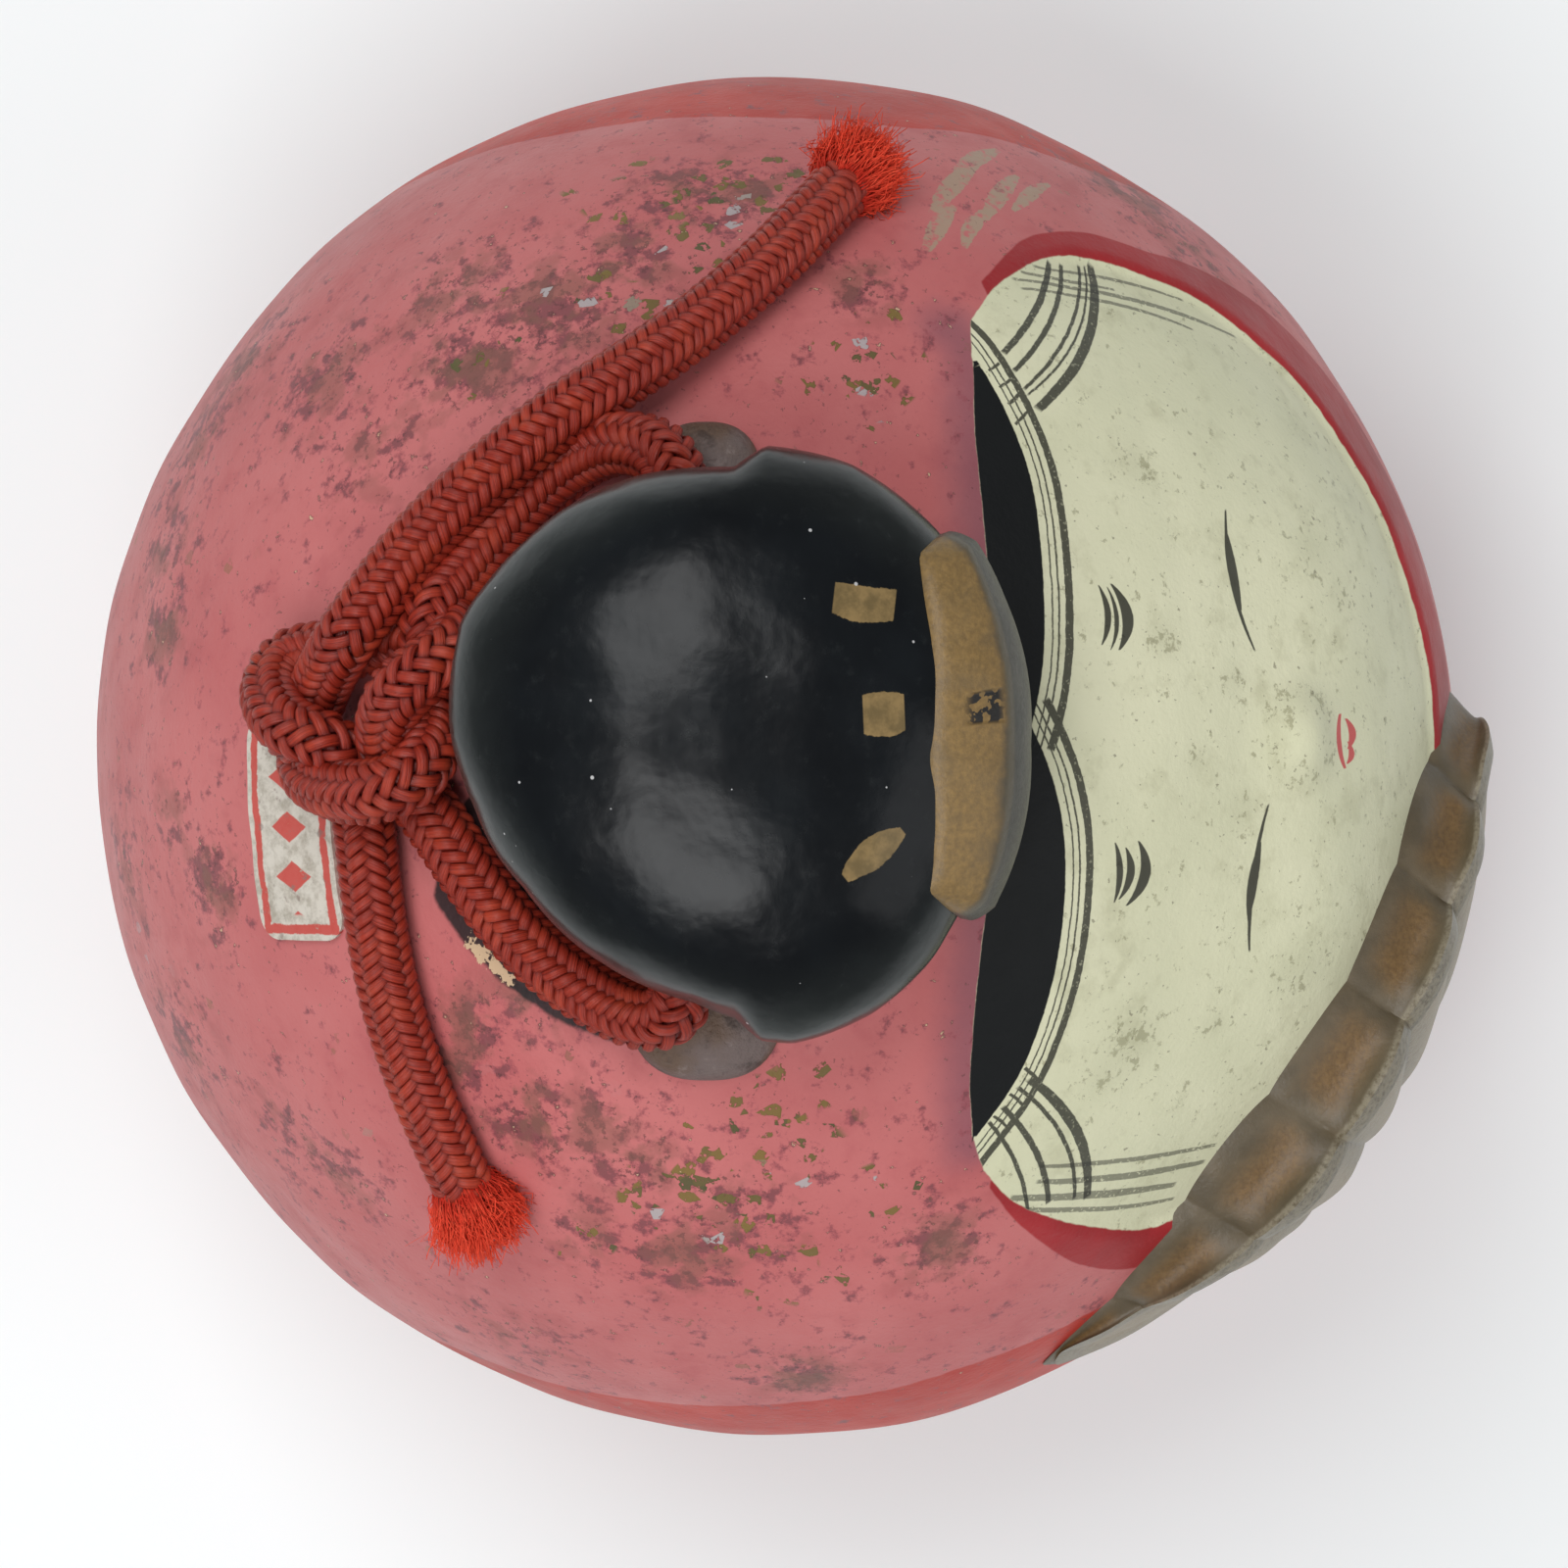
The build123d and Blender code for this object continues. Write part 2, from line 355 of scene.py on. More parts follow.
def add_studio():
    add_softbox("softbox_left", (260, 170, 700), 400, 2.35)
    add_softbox("softbox_right", (-310, 170, 700), 400, 2.75)
    add_softbox("softbox_front", (-250, -650, 560), 600, 1.3)
    world = bpy.data.worlds.new("studio")
    world.use_nodes = True
    world.node_tree.nodes["Background"].inputs["Color"].default_value = srgb(240, 240, 244)
    world.node_tree.nodes["Background"].inputs["Strength"].default_value = 0.29
    bpy.context.scene.world = world
    bpy.context.scene.view_settings.view_transform = "Standard"

    paper = Finish("backdrop_paper", roughness=0.9, specular=0.1)
    paper.finish(srgb(245, 250, 250))
    half = FLOOR_SIDE / 2
    corners = [(-half, -half, 0), (half, -half, 0), (half, half, 0), (-half, half, 0)]
    mesh = bpy.data.meshes.new("floor")
    mesh.from_pydata(place(corners).tolist(), [], [(0, 1, 2, 3)])
    mesh.materials.append(paper.material)
    floor = bpy.data.objects.new("floor", mesh)
    bpy.context.scene.collection.objects.link(floor)


# ---------------------------------------------------------------- cord

STRANDS_EACH_WAY = 8
STRAND_HALF_W, STRAND_HALF_T = 0.37, 0.28
BRAID_WAVE = 0.17  # how far a strand rises and dips as it goes over two and under two
BRAID_PITCH = 6.4  # length of cord for one turn of a strand
STEP = 0.12  # spacing of the points along the cord
TUFT_LENGTH, TUFT_ROOT = 4.2, 1.3  # past the end of the braid, and inside it
TUFT_FIBRES = 2400


def route_line(name, route):
    """Points along the smooth NURBS line of a route, in millimetres, evenly spaced."""
    curve = bpy.data.curves.new(name + "_route", "CURVE")
    curve.dimensions = "3D"
    curve.resolution_u = 24
    spline = curve.splines.new("NURBS")
    spline.points.add(len(route) - 1)
    for control, point in zip(spline.points, route):
        control.co = (*point, 1)
    spline.order_u = 3
    spline.use_endpoint_u = True
    holder = bpy.data.objects.new(name + "_route", curve)
    bpy.context.scene.collection.objects.link(holder)
    bpy.context.view_layer.update()
    mesh = bpy.data.meshes.new_from_object(holder)
    line = np.array([v.co for v in mesh.vertices], float)
    bpy.data.objects.remove(holder)
    bpy.data.meshes.remove(mesh)
    run = np.r_[0, np.cumsum(np.linalg.norm(np.diff(line, axis=0), axis=1))]
    even = np.linspace(0, run[-1], int(run[-1] / STEP) + 1)
    return np.stack([np.interp(even, run, line[:, k]) for k in range(3)], 1), even


def line_frames(line):
    """The direction of a line and two directions across it that don't twist, at each point."""
    ahead = np.gradient(line, axis=0)
    ahead /= np.linalg.norm(ahead, axis=1)[:, None]
    side = np.zeros_like(line)
    start = np.cross(ahead[0], (0.3, 0.2, 0.9))
    side[0] = start / np.linalg.norm(start)
    for i in range(1, len(line)):
        s = side[i - 1] - ahead[i] * (side[i - 1] @ ahead[i])
        side[i] = s / np.linalg.norm(s)
    return ahead, side, np.cross(ahead, side)


def braid(name, route, material):
    """A round braided cord: strands that wind both ways and pass over and under each other."""
    line, run = route_line(name, route)
    ahead, side, up = line_frames(line)
    points, faces, thread, crests = [], [], [], []
    ring = 8
    middle_r = CORD_D / 2 - STRAND_HALF_T
    turn = np.linspace(0, 2 * pi, ring, endpoint=False)
    for way in (1, -1):
        for k in range(STRANDS_EACH_WAY):
            angle = way * 2 * pi * run / BRAID_PITCH + 2 * pi * k / STRANDS_EACH_WAY
            out = side * np.cos(angle)[:, None] + up * np.sin(angle)[:, None]
            lift = way * sqrt(2) * BRAID_WAVE * np.cos(STRANDS_EACH_WAY / 2 * angle + pi / 4)
            centre = line + out * (middle_r + lift)[:, None]
            along = np.gradient(centre, axis=0)
            along /= np.linalg.norm(along, axis=1)[:, None]
            wide = np.cross(along, out)
            wide /= np.linalg.norm(wide, axis=1)[:, None]
            start = sum(len(p) for p in points)
            across = wide[:, None] * (STRAND_HALF_W * np.cos(turn))[None, :, None]
            raised = out[:, None] * (STRAND_HALF_T * np.sin(turn))[None, :, None]
            points.append((centre[:, None] + across + raised).reshape(-1, 3))
            faces += tube_faces(len(line), ring, start)
            crests.append(np.repeat(way * lift / BRAID_WAVE, ring) * way)
            ident = np.full((len(line), ring), k + 10.0 * (way + 1))
            spread = np.broadcast_to(np.cos(turn), ident.shape)
            length = np.broadcast_to(run[:, None], ident.shape)
            thread.append(np.stack([length, spread, ident], 2).reshape(-1, 3))
    core = middle_r - BRAID_WAVE
    start = sum(len(p) for p in points)
    inner = side[:, None] * np.cos(turn)[None, :, None] + up[:, None] * np.sin(turn)[None, :, None]
    points.append((line[:, None] + core * inner).reshape(-1, 3))
    faces += tube_faces(len(line), ring, start)
    thread.append(np.zeros((len(line) * ring, 3)))
    # the core gets the lowest crest, so that it is painted all over with the painted shade
    crests.append(np.full(len(line) * ring, -1.5))
    piece = make_piece(name, np.vstack(points), faces, material)
    set_values(piece, "thread", np.vstack(thread))
    set_values(piece, "crest", np.concatenate(crests))
    return piece, line, ahead


def tuft(name, end, ahead, material, seed):
    """The frayed end of a cord: a short, dense puff of fine curly fibres that spread as they leave it."""
    random = np.random.default_rng(seed)
    side = np.cross(ahead, (0, 0, 1))
    side /= np.linalg.norm(side)
    up = np.cross(side, ahead)
    steps, ring = 9, 3
    t = np.linspace(0, 1, steps)[:, None]
    turn = np.linspace(0, 2 * pi, ring, endpoint=False)
    loop = side * np.cos(turn)[:, None] + up * np.sin(turn)[:, None]
    points, faces, fray = [], [], []
    for i in range(TUFT_FIBRES):
        angle = random.uniform(0, 2 * pi)
        share = sqrt(random.uniform(0, 1))
        out = side * cos(angle) + up * sin(angle)
        reach = TUFT_LENGTH * sqrt(1 - 0.6 * share**2) * random.uniform(0.45, 0.95)
        flare = share * random.uniform(0.75, 1.5)
        curl = random.normal(0, 0.5, 3) * np.sin(t * random.uniform(4, 11) + random.uniform(0, 6))
        bend = random.normal(0, 0.40, 3)
        spread = out * (CORD_D / 2 * 0.9 * share + flare * t**0.8)
        path = end - ahead * TUFT_ROOT + ahead * (reach + TUFT_ROOT) * t + spread + (bend * t + curl) * t
        thick = 0.07 * (1 - 0.6 * t)
        points.append((path[:, None] + thick[:, None] * loop[None]).reshape(-1, 3))
        faces += tube_faces(steps, ring, i * steps * ring)
        fray.append(np.repeat(t.ravel(), ring))
    points = np.vstack(points)
    points[:, 2] = np.maximum(points[:, 2], dome_height(points[:, 0], points[:, 1]) + 0.05)
    piece = make_piece(name, points, faces, material)
    set_values(piece, "fray", np.concatenate(fray))
    return piece


def dome_height(x, y):
    """Height of the body's dome over a point."""
    return WIDEST_Z + np.sqrt(np.maximum(BODY_R**2 - x**2 - y**2, 0))


def cord_material():
    m = Finish("braided_rayon", roughness=0.45, specular=0.4)
    length, spread, ident = m.split(m.value("thread", vector=True))
    lane = m.node("CombineXYZ")
    m.feed(m.times(length, 0.35), lane.inputs[0])
    m.feed(m.times(spread, 3.2), lane.inputs[1])
    m.feed(m.times(ident, 3.7), lane.inputs[2])
    fibres = m.noise(0.55, detail=4, where=lane.outputs[0])
    patch = m.noise(2.2, detail=2)
    # Masks for painted shade: the sides of each strand, where it meets its neighbours, and the strands where
    # they dip under the others are painted darker
    edge = m.mask(m.math("ABSOLUTE", spread), 0.6, 1.0)
    deep = m.mask(m.value("crest"), 0.7, -0.6)
    # The lighter red of the fibre streaks and the orange patches are painted highlights, laid over the
    # fibres' own tone
    colour = m.mix(m.mask(fibres, 0.3, 0.7), srgb(122, 29, 18), srgb(168, 52, 32))
    colour = m.mix(m.both(m.mask(patch, 0.45, 0.8), 0.45), colour, srgb(196, 76, 46))
    colour = m.mix(m.both(edge, 0.5), colour, srgb(84, 16, 12))
    colour = m.mix(m.both(deep, 0.8), colour, srgb(70, 12, 14))
    return m.finish(colour, height=fibres, depth=0.09)


def fray_material():
    m = Finish("frayed_rayon", roughness=0.7, specular=0.2)
    patch = m.noise(0.6)
    colour = m.mix(m.mask(m.value("fray"), 0.1, 0.8), srgb(186, 40, 24), srgb(238, 78, 52))
    colour = m.mix(m.both(m.mask(patch, 0.5, 0.8), 0.5), colour, srgb(246, 104, 74))
    return m.finish(colour, height=patch, depth=0.05)


def add_cords():
    """The two ends of the cord, which leave the topknot's tunnel and meet in a reef knot behind it."""
    red, frayed = cord_material(), fray_material()
    ends = [
        ("cord_left", TUNNEL_START_LEFT + LOOP_LEFT + KNOT_LEFT + TAIL_LONG, "long", 11, MOUTH_LEFT),
        ("cord_right", TUNNEL_START_RIGHT + LOOP_RIGHT + KNOT_RIGHT + TAIL_SHORT, "short", 12, MOUTH_RIGHT),
    ]
    cad = {
        "long": ("cord_loop_left", "cord_tail_long", "cord_knot", "cord_in_tunnel"),
        "short": ("cord_loop_right", "cord_tail_short"),
    }
    for name, route, tail, seed, mouth in ends:
        piece, line, ahead = braid(name, route, red)
        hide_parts(*cad[tail])
        brush = tuft("tuft_" + tail, line[-1], ahead[-1], frayed, seed)
        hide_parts("cord_tip_" + tail)


# ---------------------------------------------------------------- the painted design
# The face is drawn on a chart: flat coordinates in millimetres about the middle of the face, x towards the
# doll's left and y down the face, with true distances along every line from that middle.
# Many of the places in these lists, and in those of the wear, were picked by eye on the photo and turned
# into millimetres by a scratch script.

FACE_OUT = np.array((0, -sin(FACE_TILT), cos(FACE_TILT)))
FACE_DOWN = np.array((0, -cos(FACE_TILT), -sin(FACE_TILT)))

FACE_LEFT_EDGE = [
    (27.8, -18.7), (30.5, -15.7), (32.0, -13.0), (33.0, -10.8), (33.6, -8.6), (33.6, -6.2),
    (33.0, -3.5), (32.2, -1.3), (30.7, 2.7), (28.3, 6.4), (24.3, 10.6), (18.8, 13.9), (12.2, 16.6),
    (6.7, 18.4), (1.9, 18.9),
]
FACE_RIGHT_EDGE = [
    (-6.0, 18.6), (-15.0, 16.0), (-23.5, 10.8), (-29.3, 4.6), (-32.1, -0.6), (-31.5, -8.0),
    (-29.6, -14.3), (-27.0, -18.1),
]
HAIR_BACK_EDGE = [
    (-24.6, -19.8), (-19.8, -21.6), (-12.4, -22.7), (-5.0, -22.8), (3.0, -22.4), (10.4, -22.4),
    (18.8, -21.4), (25.6, -19.5),
]
HAIR_LEFT_EDGE = [
    (27.4, -20.2), (25.5, -19.5), (21.1, -18.7), (16.5, -18.5), (10.9, -19.0), (5.4, -19.7),
    (1.5, -20.7), (-0.6, -21.5),
]
HAIR_RIGHT_EDGE = [
    (3.4, -21.7), (1.5, -20.7), (-1.6, -19.4), (-5.4, -18.4), (-10.0, -17.9), (-14.6, -17.8),
    (-20.0, -18.3), (-25.0, -19.7),
]
BAND_OUTER_EDGE = [
    (31.0, -16.4), (33.7, -12.6), (34.9, -10.4), (35.5, -8.0), (35.7, -4.7), (35.1, -2.0), (34.3, 0.6),
    (33.8, 4.2), (32.4, 9.1), (30.2, 13.3), (26.6, 17.2), (21.6, 20.4), (14.0, 23.4), (4.0, 24.8),
    (-8.0, 24.2), (-18.0, 20.6), (-27.5, 14.2), (-33.4, 7.4), (-35.6, 0.6), (-34.9, -5.4),
    (-33.2, -9.6), (-30.9, -13.8), (-28.2, -17.2),
]

# Lines parallel to the edge of the hair: distance from the edge, half width, overrun past the parting
HAIR_LINES = [(0.50, 0.05, 1.2), (0.92, 0.06, 1.6), (1.58, 0.25, 1.0)]

# Brush strokes on the face: start, middle, end, half width, taper from 0 (pointed) to 1 (square)
BROWS = [
    ((10.0, -15.5), (8.2, -15.1), (6.3, -15.8), 0.24, 0.15),
    ((9.9, -14.9), (8.0, -14.5), (6.0, -15.2), 0.17, 0.15),
    ((10.1, -14.6), (8.2, -13.7), (6.0, -14.6), 0.42, 0.15),
    ((-5.4, -15.0), (-7.2, -14.4), (-9.1, -14.5), 0.24, 0.15),
    ((-5.7, -14.2), (-7.1, -13.6), (-8.9, -14.2), 0.3, 0.15),
    ((-5.3, -13.3), (-7.3, -12.5), (-9.3, -13.6), 0.42, 0.15),
]
EYES = [
    ((15.0, -4.1), (10.6, -4.7), (6.1, -3.4), 0.18, 0.4),
    ((13.8, -4.5), (11.0, -4.5), (8.6, -4.2), 0.42, 0.05),
    ((-3.1, -2.6), (-7.4, -3.5), (-12.3, -2.8), 0.18, 0.4),
    ((-5.4, -3.1), (-7.8, -3.5), (-10.4, -3.4), 0.42, 0.05),
]
LIPS = [
    ((2.4, 4.0), (0.8, 3.6), (-1.0, 4.3), 0.3, 0.5),
    ((2.1, 4.6), (1.1, 5.3), (0.2, 4.7), 0.42, 0.3),
    ((0.7, 4.7), (0.0, 5.1), (-0.7, 4.5), 0.34, 0.2),
]
LOCKS = [
    ((25.3, -17.5), (28.5, -13.7), (33.2, -9.5), 0.22, 0.9),
    ((24.0, -17.3), (27.6, -13.0), (33.2, -8.4), 0.17, 0.9),
    ((22.7, -17.1), (26.8, -12.0), (33.2, -6.8), 0.12, 0.9),
    ((22.3, -17.0), (26.3, -11.7), (33.2, -6.3), 0.08, 0.9),
    ((21.3, -16.7), (25.6, -11.3), (33.3, -5.7), 0.34, 0.8),
    ((-20.3, -17.6), (-24.0, -12.6), (-29.6, -8.5), 0.34, 0.8),
    ((-20.9, -18.2), (-24.3, -13.6), (-29.6, -9.6), 0.14, 0.9),
    ((-22.3, -18.7), (-25.5, -15.0), (-29.8, -11.7), 0.2, 0.9),
    ((-23.4, -19.2), (-26.6, -15.9), (-30.2, -13.2), 0.14, 0.9),
]
SIDE_LINES = [
    ((31.4, -13.9), (30.4, -5.0), (28.0, 5.6), 0.2, 0.5),
    ((32.0, -12.8), (31.5, -8.5), (31.0, -5.1), 0.16, 0.6),
    ((30.6, -13.6), (29.8, -6.4), (28.1, 0.6), 0.16, 0.6),
    ((32.6, -11.4), (32.2, -6.0), (30.6, 1.6), 0.16, 0.5),
    ((-26.7, -14.3), (-26.6, -7.5), (-25.7, 1.2), 0.2, 0.6),
    ((-27.9, -13.8), (-27.9, -6.8), (-27.0, 1.0), 0.28, 0.6),
    ((-29.1, -15.2), (-29.3, -8.5), (-28.8, -0.6), 0.32, 0.6),
    ((-29.9, -14.2), (-30.5, -7.5), (-30.0, 0.2), 0.2, 0.6),
]
LADDER = [
    ((24.2, -18.9), (24.4, -18.5), (24.7, -18.0), 0.10, 0.9),
    ((23.0, -18.6), (23.3, -18.0), (23.7, -17.4), 0.10, 0.9),
    ((21.8, -18.4), (22.2, -17.8), (22.7, -17.2), 0.12, 0.9),
    ((20.4, -18.4), (20.9, -17.8), (21.4, -17.1), 0.10, 0.9),
    ((-19.6, -18.1), (-20.1, -17.3), (-20.6, -16.6), 0.12, 0.9),
    ((-21.4, -18.5), (-21.8, -17.8), (-22.3, -17.1), 0.10, 0.9),
    ((-23.0, -19.0), (-23.4, -18.3), (-23.9, -17.6), 0.10, 0.9),
]
GREEN_STROKES = [
    ((34.0, -18.8), (36.2, -16.6), (38.2, -14.2), 0.62, 0.4),
    ((34.0, -16.0), (36.0, -14.2), (37.6, -11.6), 0.52, 0.3),
    ((37.4, -16.4), (40.4, -12.6), (42.8, -8.6), 0.66, 0.4),
    ((36.6, -12.8), (39.2, -9.6), (41.4, -6.2), 0.62, 0.3),
    ((40.4, -12.6), (42.6, -9.6), (44.4, -5.2), 0.66, 0.3),
    ((37.4, -9.8), (39.4, -6.6), (40.8, -3.6), 0.5, 0.3),
]

# Stains on the face: middle on the chart, radius, weight. The one about the nose is a ring of dirt and
# painted shade in the crease round its bump.
NOSE_AT, NOSE_RISE, NOSE_R = (1.0, 0.0), 1.0, 2.5
FACE_GRIME_AND_SHADE = [
    ((17.8, -10.7), 1.6, 0.9), ((6.8, -11.2), 1.3, 1.0), ((-0.5, -8.8), 0.8, 0.9), (NOSE_AT, 1.0, 0.7),
    ((12.5, 2.8), 1.5, 0.7), ((9.5, 5.1), 1.2, 0.6), ((-18.2, -10.5), 2.4, 1.0),
    ((-20.2, -12.0), 1.4, 0.7), ((-3.3, -4.8), 1.2, 0.7), ((-16.9, -3.9), 0.9, 0.7),
    ((26.7, 9.5), 2.0, 0.5), ((4.5, -5.5), 1.0, 0.7), ((-13.5, 2.0), 2.2, 0.9),
]

# Where the pink mantle ends over the red robe: direction round the body in degrees, height
MANTLE_HEM = [
    (-148, 56.0), (-135, 49.0), (-112, 33.0), (-90, 28.0), (-66, 32.0), (-42, 42.0), (-26, 53.0),
    (-12, 58.2), (0, 58.2), (12, 56.6), (23, 53.0), (34, 44.5), (60, 31.0), (90, 26.0), (120, 31.0),
    (146, 44.5), (160, 51.4), (172, 53.8), (184, 56.2), (196, 57.4),
]

# Black paint that shows behind the topknot: direction round the topknot in degrees, distance from its middle
NAPE_EDGE = [
    (94, 13.5), (107, 17.2), (117, 19.4), (127, 19.4), (139, 19.0), (149, 18.8), (160, 18.4), (174, 13.5),
]
CREAM_CHIPS = [
    ((-11.2, 17.6, 76.7), 0.6, 0.8), ((-11.8, 17.0, 76.8), 0.7, 1.0), ((-12.5, 16.3, 77.0), 0.8, 1.0),
    ((-13.1, 15.5, 77.1), 0.6, 0.9),
]

# Patches of wear: middle on the body, radius, weight
METAL_FLAKES = [
    ((34.1, 1.7, 65.8), 3.4, 0.8), ((30.6, 3.0, 69.3), 3.4, 0.4), ((22.4, -5.6, 75.4), 2.8, 0.9),
    ((26.5, 8.6, 72.1), 3.4, 0.5), ((29.2, 5.2, 70.5), 1.8, 0.7), ((27.2, 12.2, 70.4), 2.6, 0.4),
    ((22.9, 17.9, 70.9), 1.8, 0.6), ((33.0, 9.0, 64.0), 3.2, 0.35), ((-25.5, 4.0, 73.6), 3.0, 1.0),
    ((-27.9, 1.7, 71.9), 2.6, 1.0), ((-26.8, 6.3, 72.4), 2.4, 0.7), ((-24.3, -0.6, 74.7), 2.6, 0.6),
    ((-21.6, 0.5, 76.3), 1.8, 0.9), ((-26.1, -6.4, 72.8), 1.8, 0.6), ((-19.0, -2.9, 77.6), 1.6, 0.4),
    ((-28.7, 11.0, 69.4), 1.8, 0.4), ((-30.5, -1.6, 69.5), 3.0, 0.4),
]
TARNISH = [
    ((26.0, 13.3, 70.9), 5.0, 1.0), ((23.1, 17.9, 70.9), 4.2, 1.0), ((29.6, 8.7, 69.4), 4.2, 0.9),
    ((33.5, 5.3, 66.1), 4.0, 0.8), ((27.5, 18.8, 66.7), 4.5, 0.8), ((22.4, 27.2, 64.3), 4.5, 0.7),
    ((24.4, 33.0, 53.8), 4.5, 0.7), ((27.6, -5.3, 71.8), 2.6, 0.8), ((34.1, 1.7, 65.8), 3.5, 0.9),
    ((17.5, 23.0, 70.0), 4.0, 0.6), ((19.5, 36.1, 53.9), 4.0, 0.8), ((7.7, 37.6, 59.6), 3.0, 1.0),
    ((12.6, 37.5, 57.2), 3.5, 0.7), ((-6.8, 40.3, 54.3), 4.0, 0.6), ((-7.9, 34.0, 64.8), 3.0, 1.0),
    ((-17.8, 36.6, 54.8), 4.0, 0.7), ((-4.0, 36.5, 62.0), 2.4, 0.7), ((-16.2, 17.7, 74.9), 3.0, 0.9),
    ((-18.6, 18.4, 73.4), 2.6, 0.8), ((-21.5, 14.3, 73.6), 3.2, 1.0), ((-22.0, 10.3, 74.7), 3.0, 0.8),
    ((-24.3, 8.0, 73.8), 3.0, 0.8), ((-29.9, 5.2, 69.9), 3.4, 0.9), ((-29.3, -10.0, 69.2), 3.0, 1.0),
    ((-27.9, 1.7, 71.9), 4.0, 0.7), ((-38.3, -1.8, 59.6), 3.0, 1.0), ((-23.5, 29.3, 60.9), 3.4, 0.6),
    ((-25.8, 26.2, 62.2), 2.6, 0.7), ((-28.7, 11.0, 69.4), 3.0, 0.6), ((-14.0, 14.0, 77.0), 3.0, 0.8),
    ((35.1, -22.8, 51.6), 4.0, 0.8), ((31.8, -26.4, 53.0), 4.0, 0.6), ((-36.0, 16.0, 57.0), 4.0, 0.5),
]


def on_chart(points):
    """Chart coordinates of points on the body."""
    out = points - (0, 0, WIDEST_Z)
    out /= np.linalg.norm(out, axis=1)[:, None]
    tilt = np.arccos(np.clip(out @ FACE_OUT, -1, 1))
    across, down = out[:, 0], out @ FACE_DOWN
    flat = np.maximum(np.hypot(across, down), 1e-9)
    return np.stack([across, down], 1) * (tilt * BODY_R / flat)[:, None]


def along_curve(points, curve):
    """Signed distance from an open curve and distance along it, for points of the chart."""
    step = np.diff(curve, axis=0)
    length = np.linalg.norm(step, axis=1)
    run = np.r_[0, np.cumsum(length)]
    nearest = np.full(len(points), 1e9)
    offset, along = np.zeros(len(points)), np.zeros(len(points))
    for k in range(len(step)):
        ahead = step[k] / length[k]
        rel = points - curve[k]
        t = rel @ ahead
        end_t = np.clip(t, 0 if k else None, length[k] if k < len(step) - 1 else None)
        away = rel - end_t[:, None] * ahead
        gap = np.hypot(away[:, 0], away[:, 1])
        near = gap < nearest
        side = np.sign(ahead[0] * away[:, 1] - ahead[1] * away[:, 0])
        nearest[near] = gap[near]
        offset[near] = (side * gap)[near]
        along[near] = (run[k] + end_t)[near]
    return offset, along


def inside_distance(points, curve):
    """Distance from a closed curve, more than 0 inside it."""
    ring = np.vstack([curve, curve[:1]])
    nearest = np.full(len(points), 1e9)
    inside = np.zeros(len(points), bool)
    for a, b in zip(ring[:-1], ring[1:]):
        step = b - a
        if step @ step < 1e-12:
            continue
        t = np.clip((points - a) @ step / (step @ step), 0, 1)
        away = points - a - t[:, None] * step
        nearest = np.minimum(nearest, np.hypot(away[:, 0], away[:, 1]))
        crosses = (a[1] > points[:, 1]) != (b[1] > points[:, 1])
        level = np.where(crosses, (points[:, 1] - a[1]) / (step[1] if step[1] else 1e-9), 0)
        inside ^= crosses & (points[:, 0] < a[0] + level * step[0])
    return np.where(inside, nearest, -nearest)


def hem_height(azimuth):
    """Height of the mantle's hem at a direction round the body, in degrees."""
    turns = [a + shift for shift in (-360, 0, 360) for a, _ in MANTLE_HEM]
    heights = [h for _ in range(3) for _, h in MANTLE_HEM]
    order = np.argsort(turns)
    fine = np.linspace(-400, 400, 1601)
    level = np.interp(fine, np.array(turns)[order], np.array(heights)[order])
    soft = np.convolve(np.pad(level, 12, mode="edge"), np.hanning(25) / np.hanning(25).sum(), "valid")
    return np.interp(azimuth, fine, soft)


def patch_weight(points, patches):
    total = np.zeros(len(points))
    for middle, radius, weight in patches:
        away = np.linalg.norm(points - middle, axis=1) / radius
        total = np.maximum(total, weight * np.exp(-(away**2)))
    return total


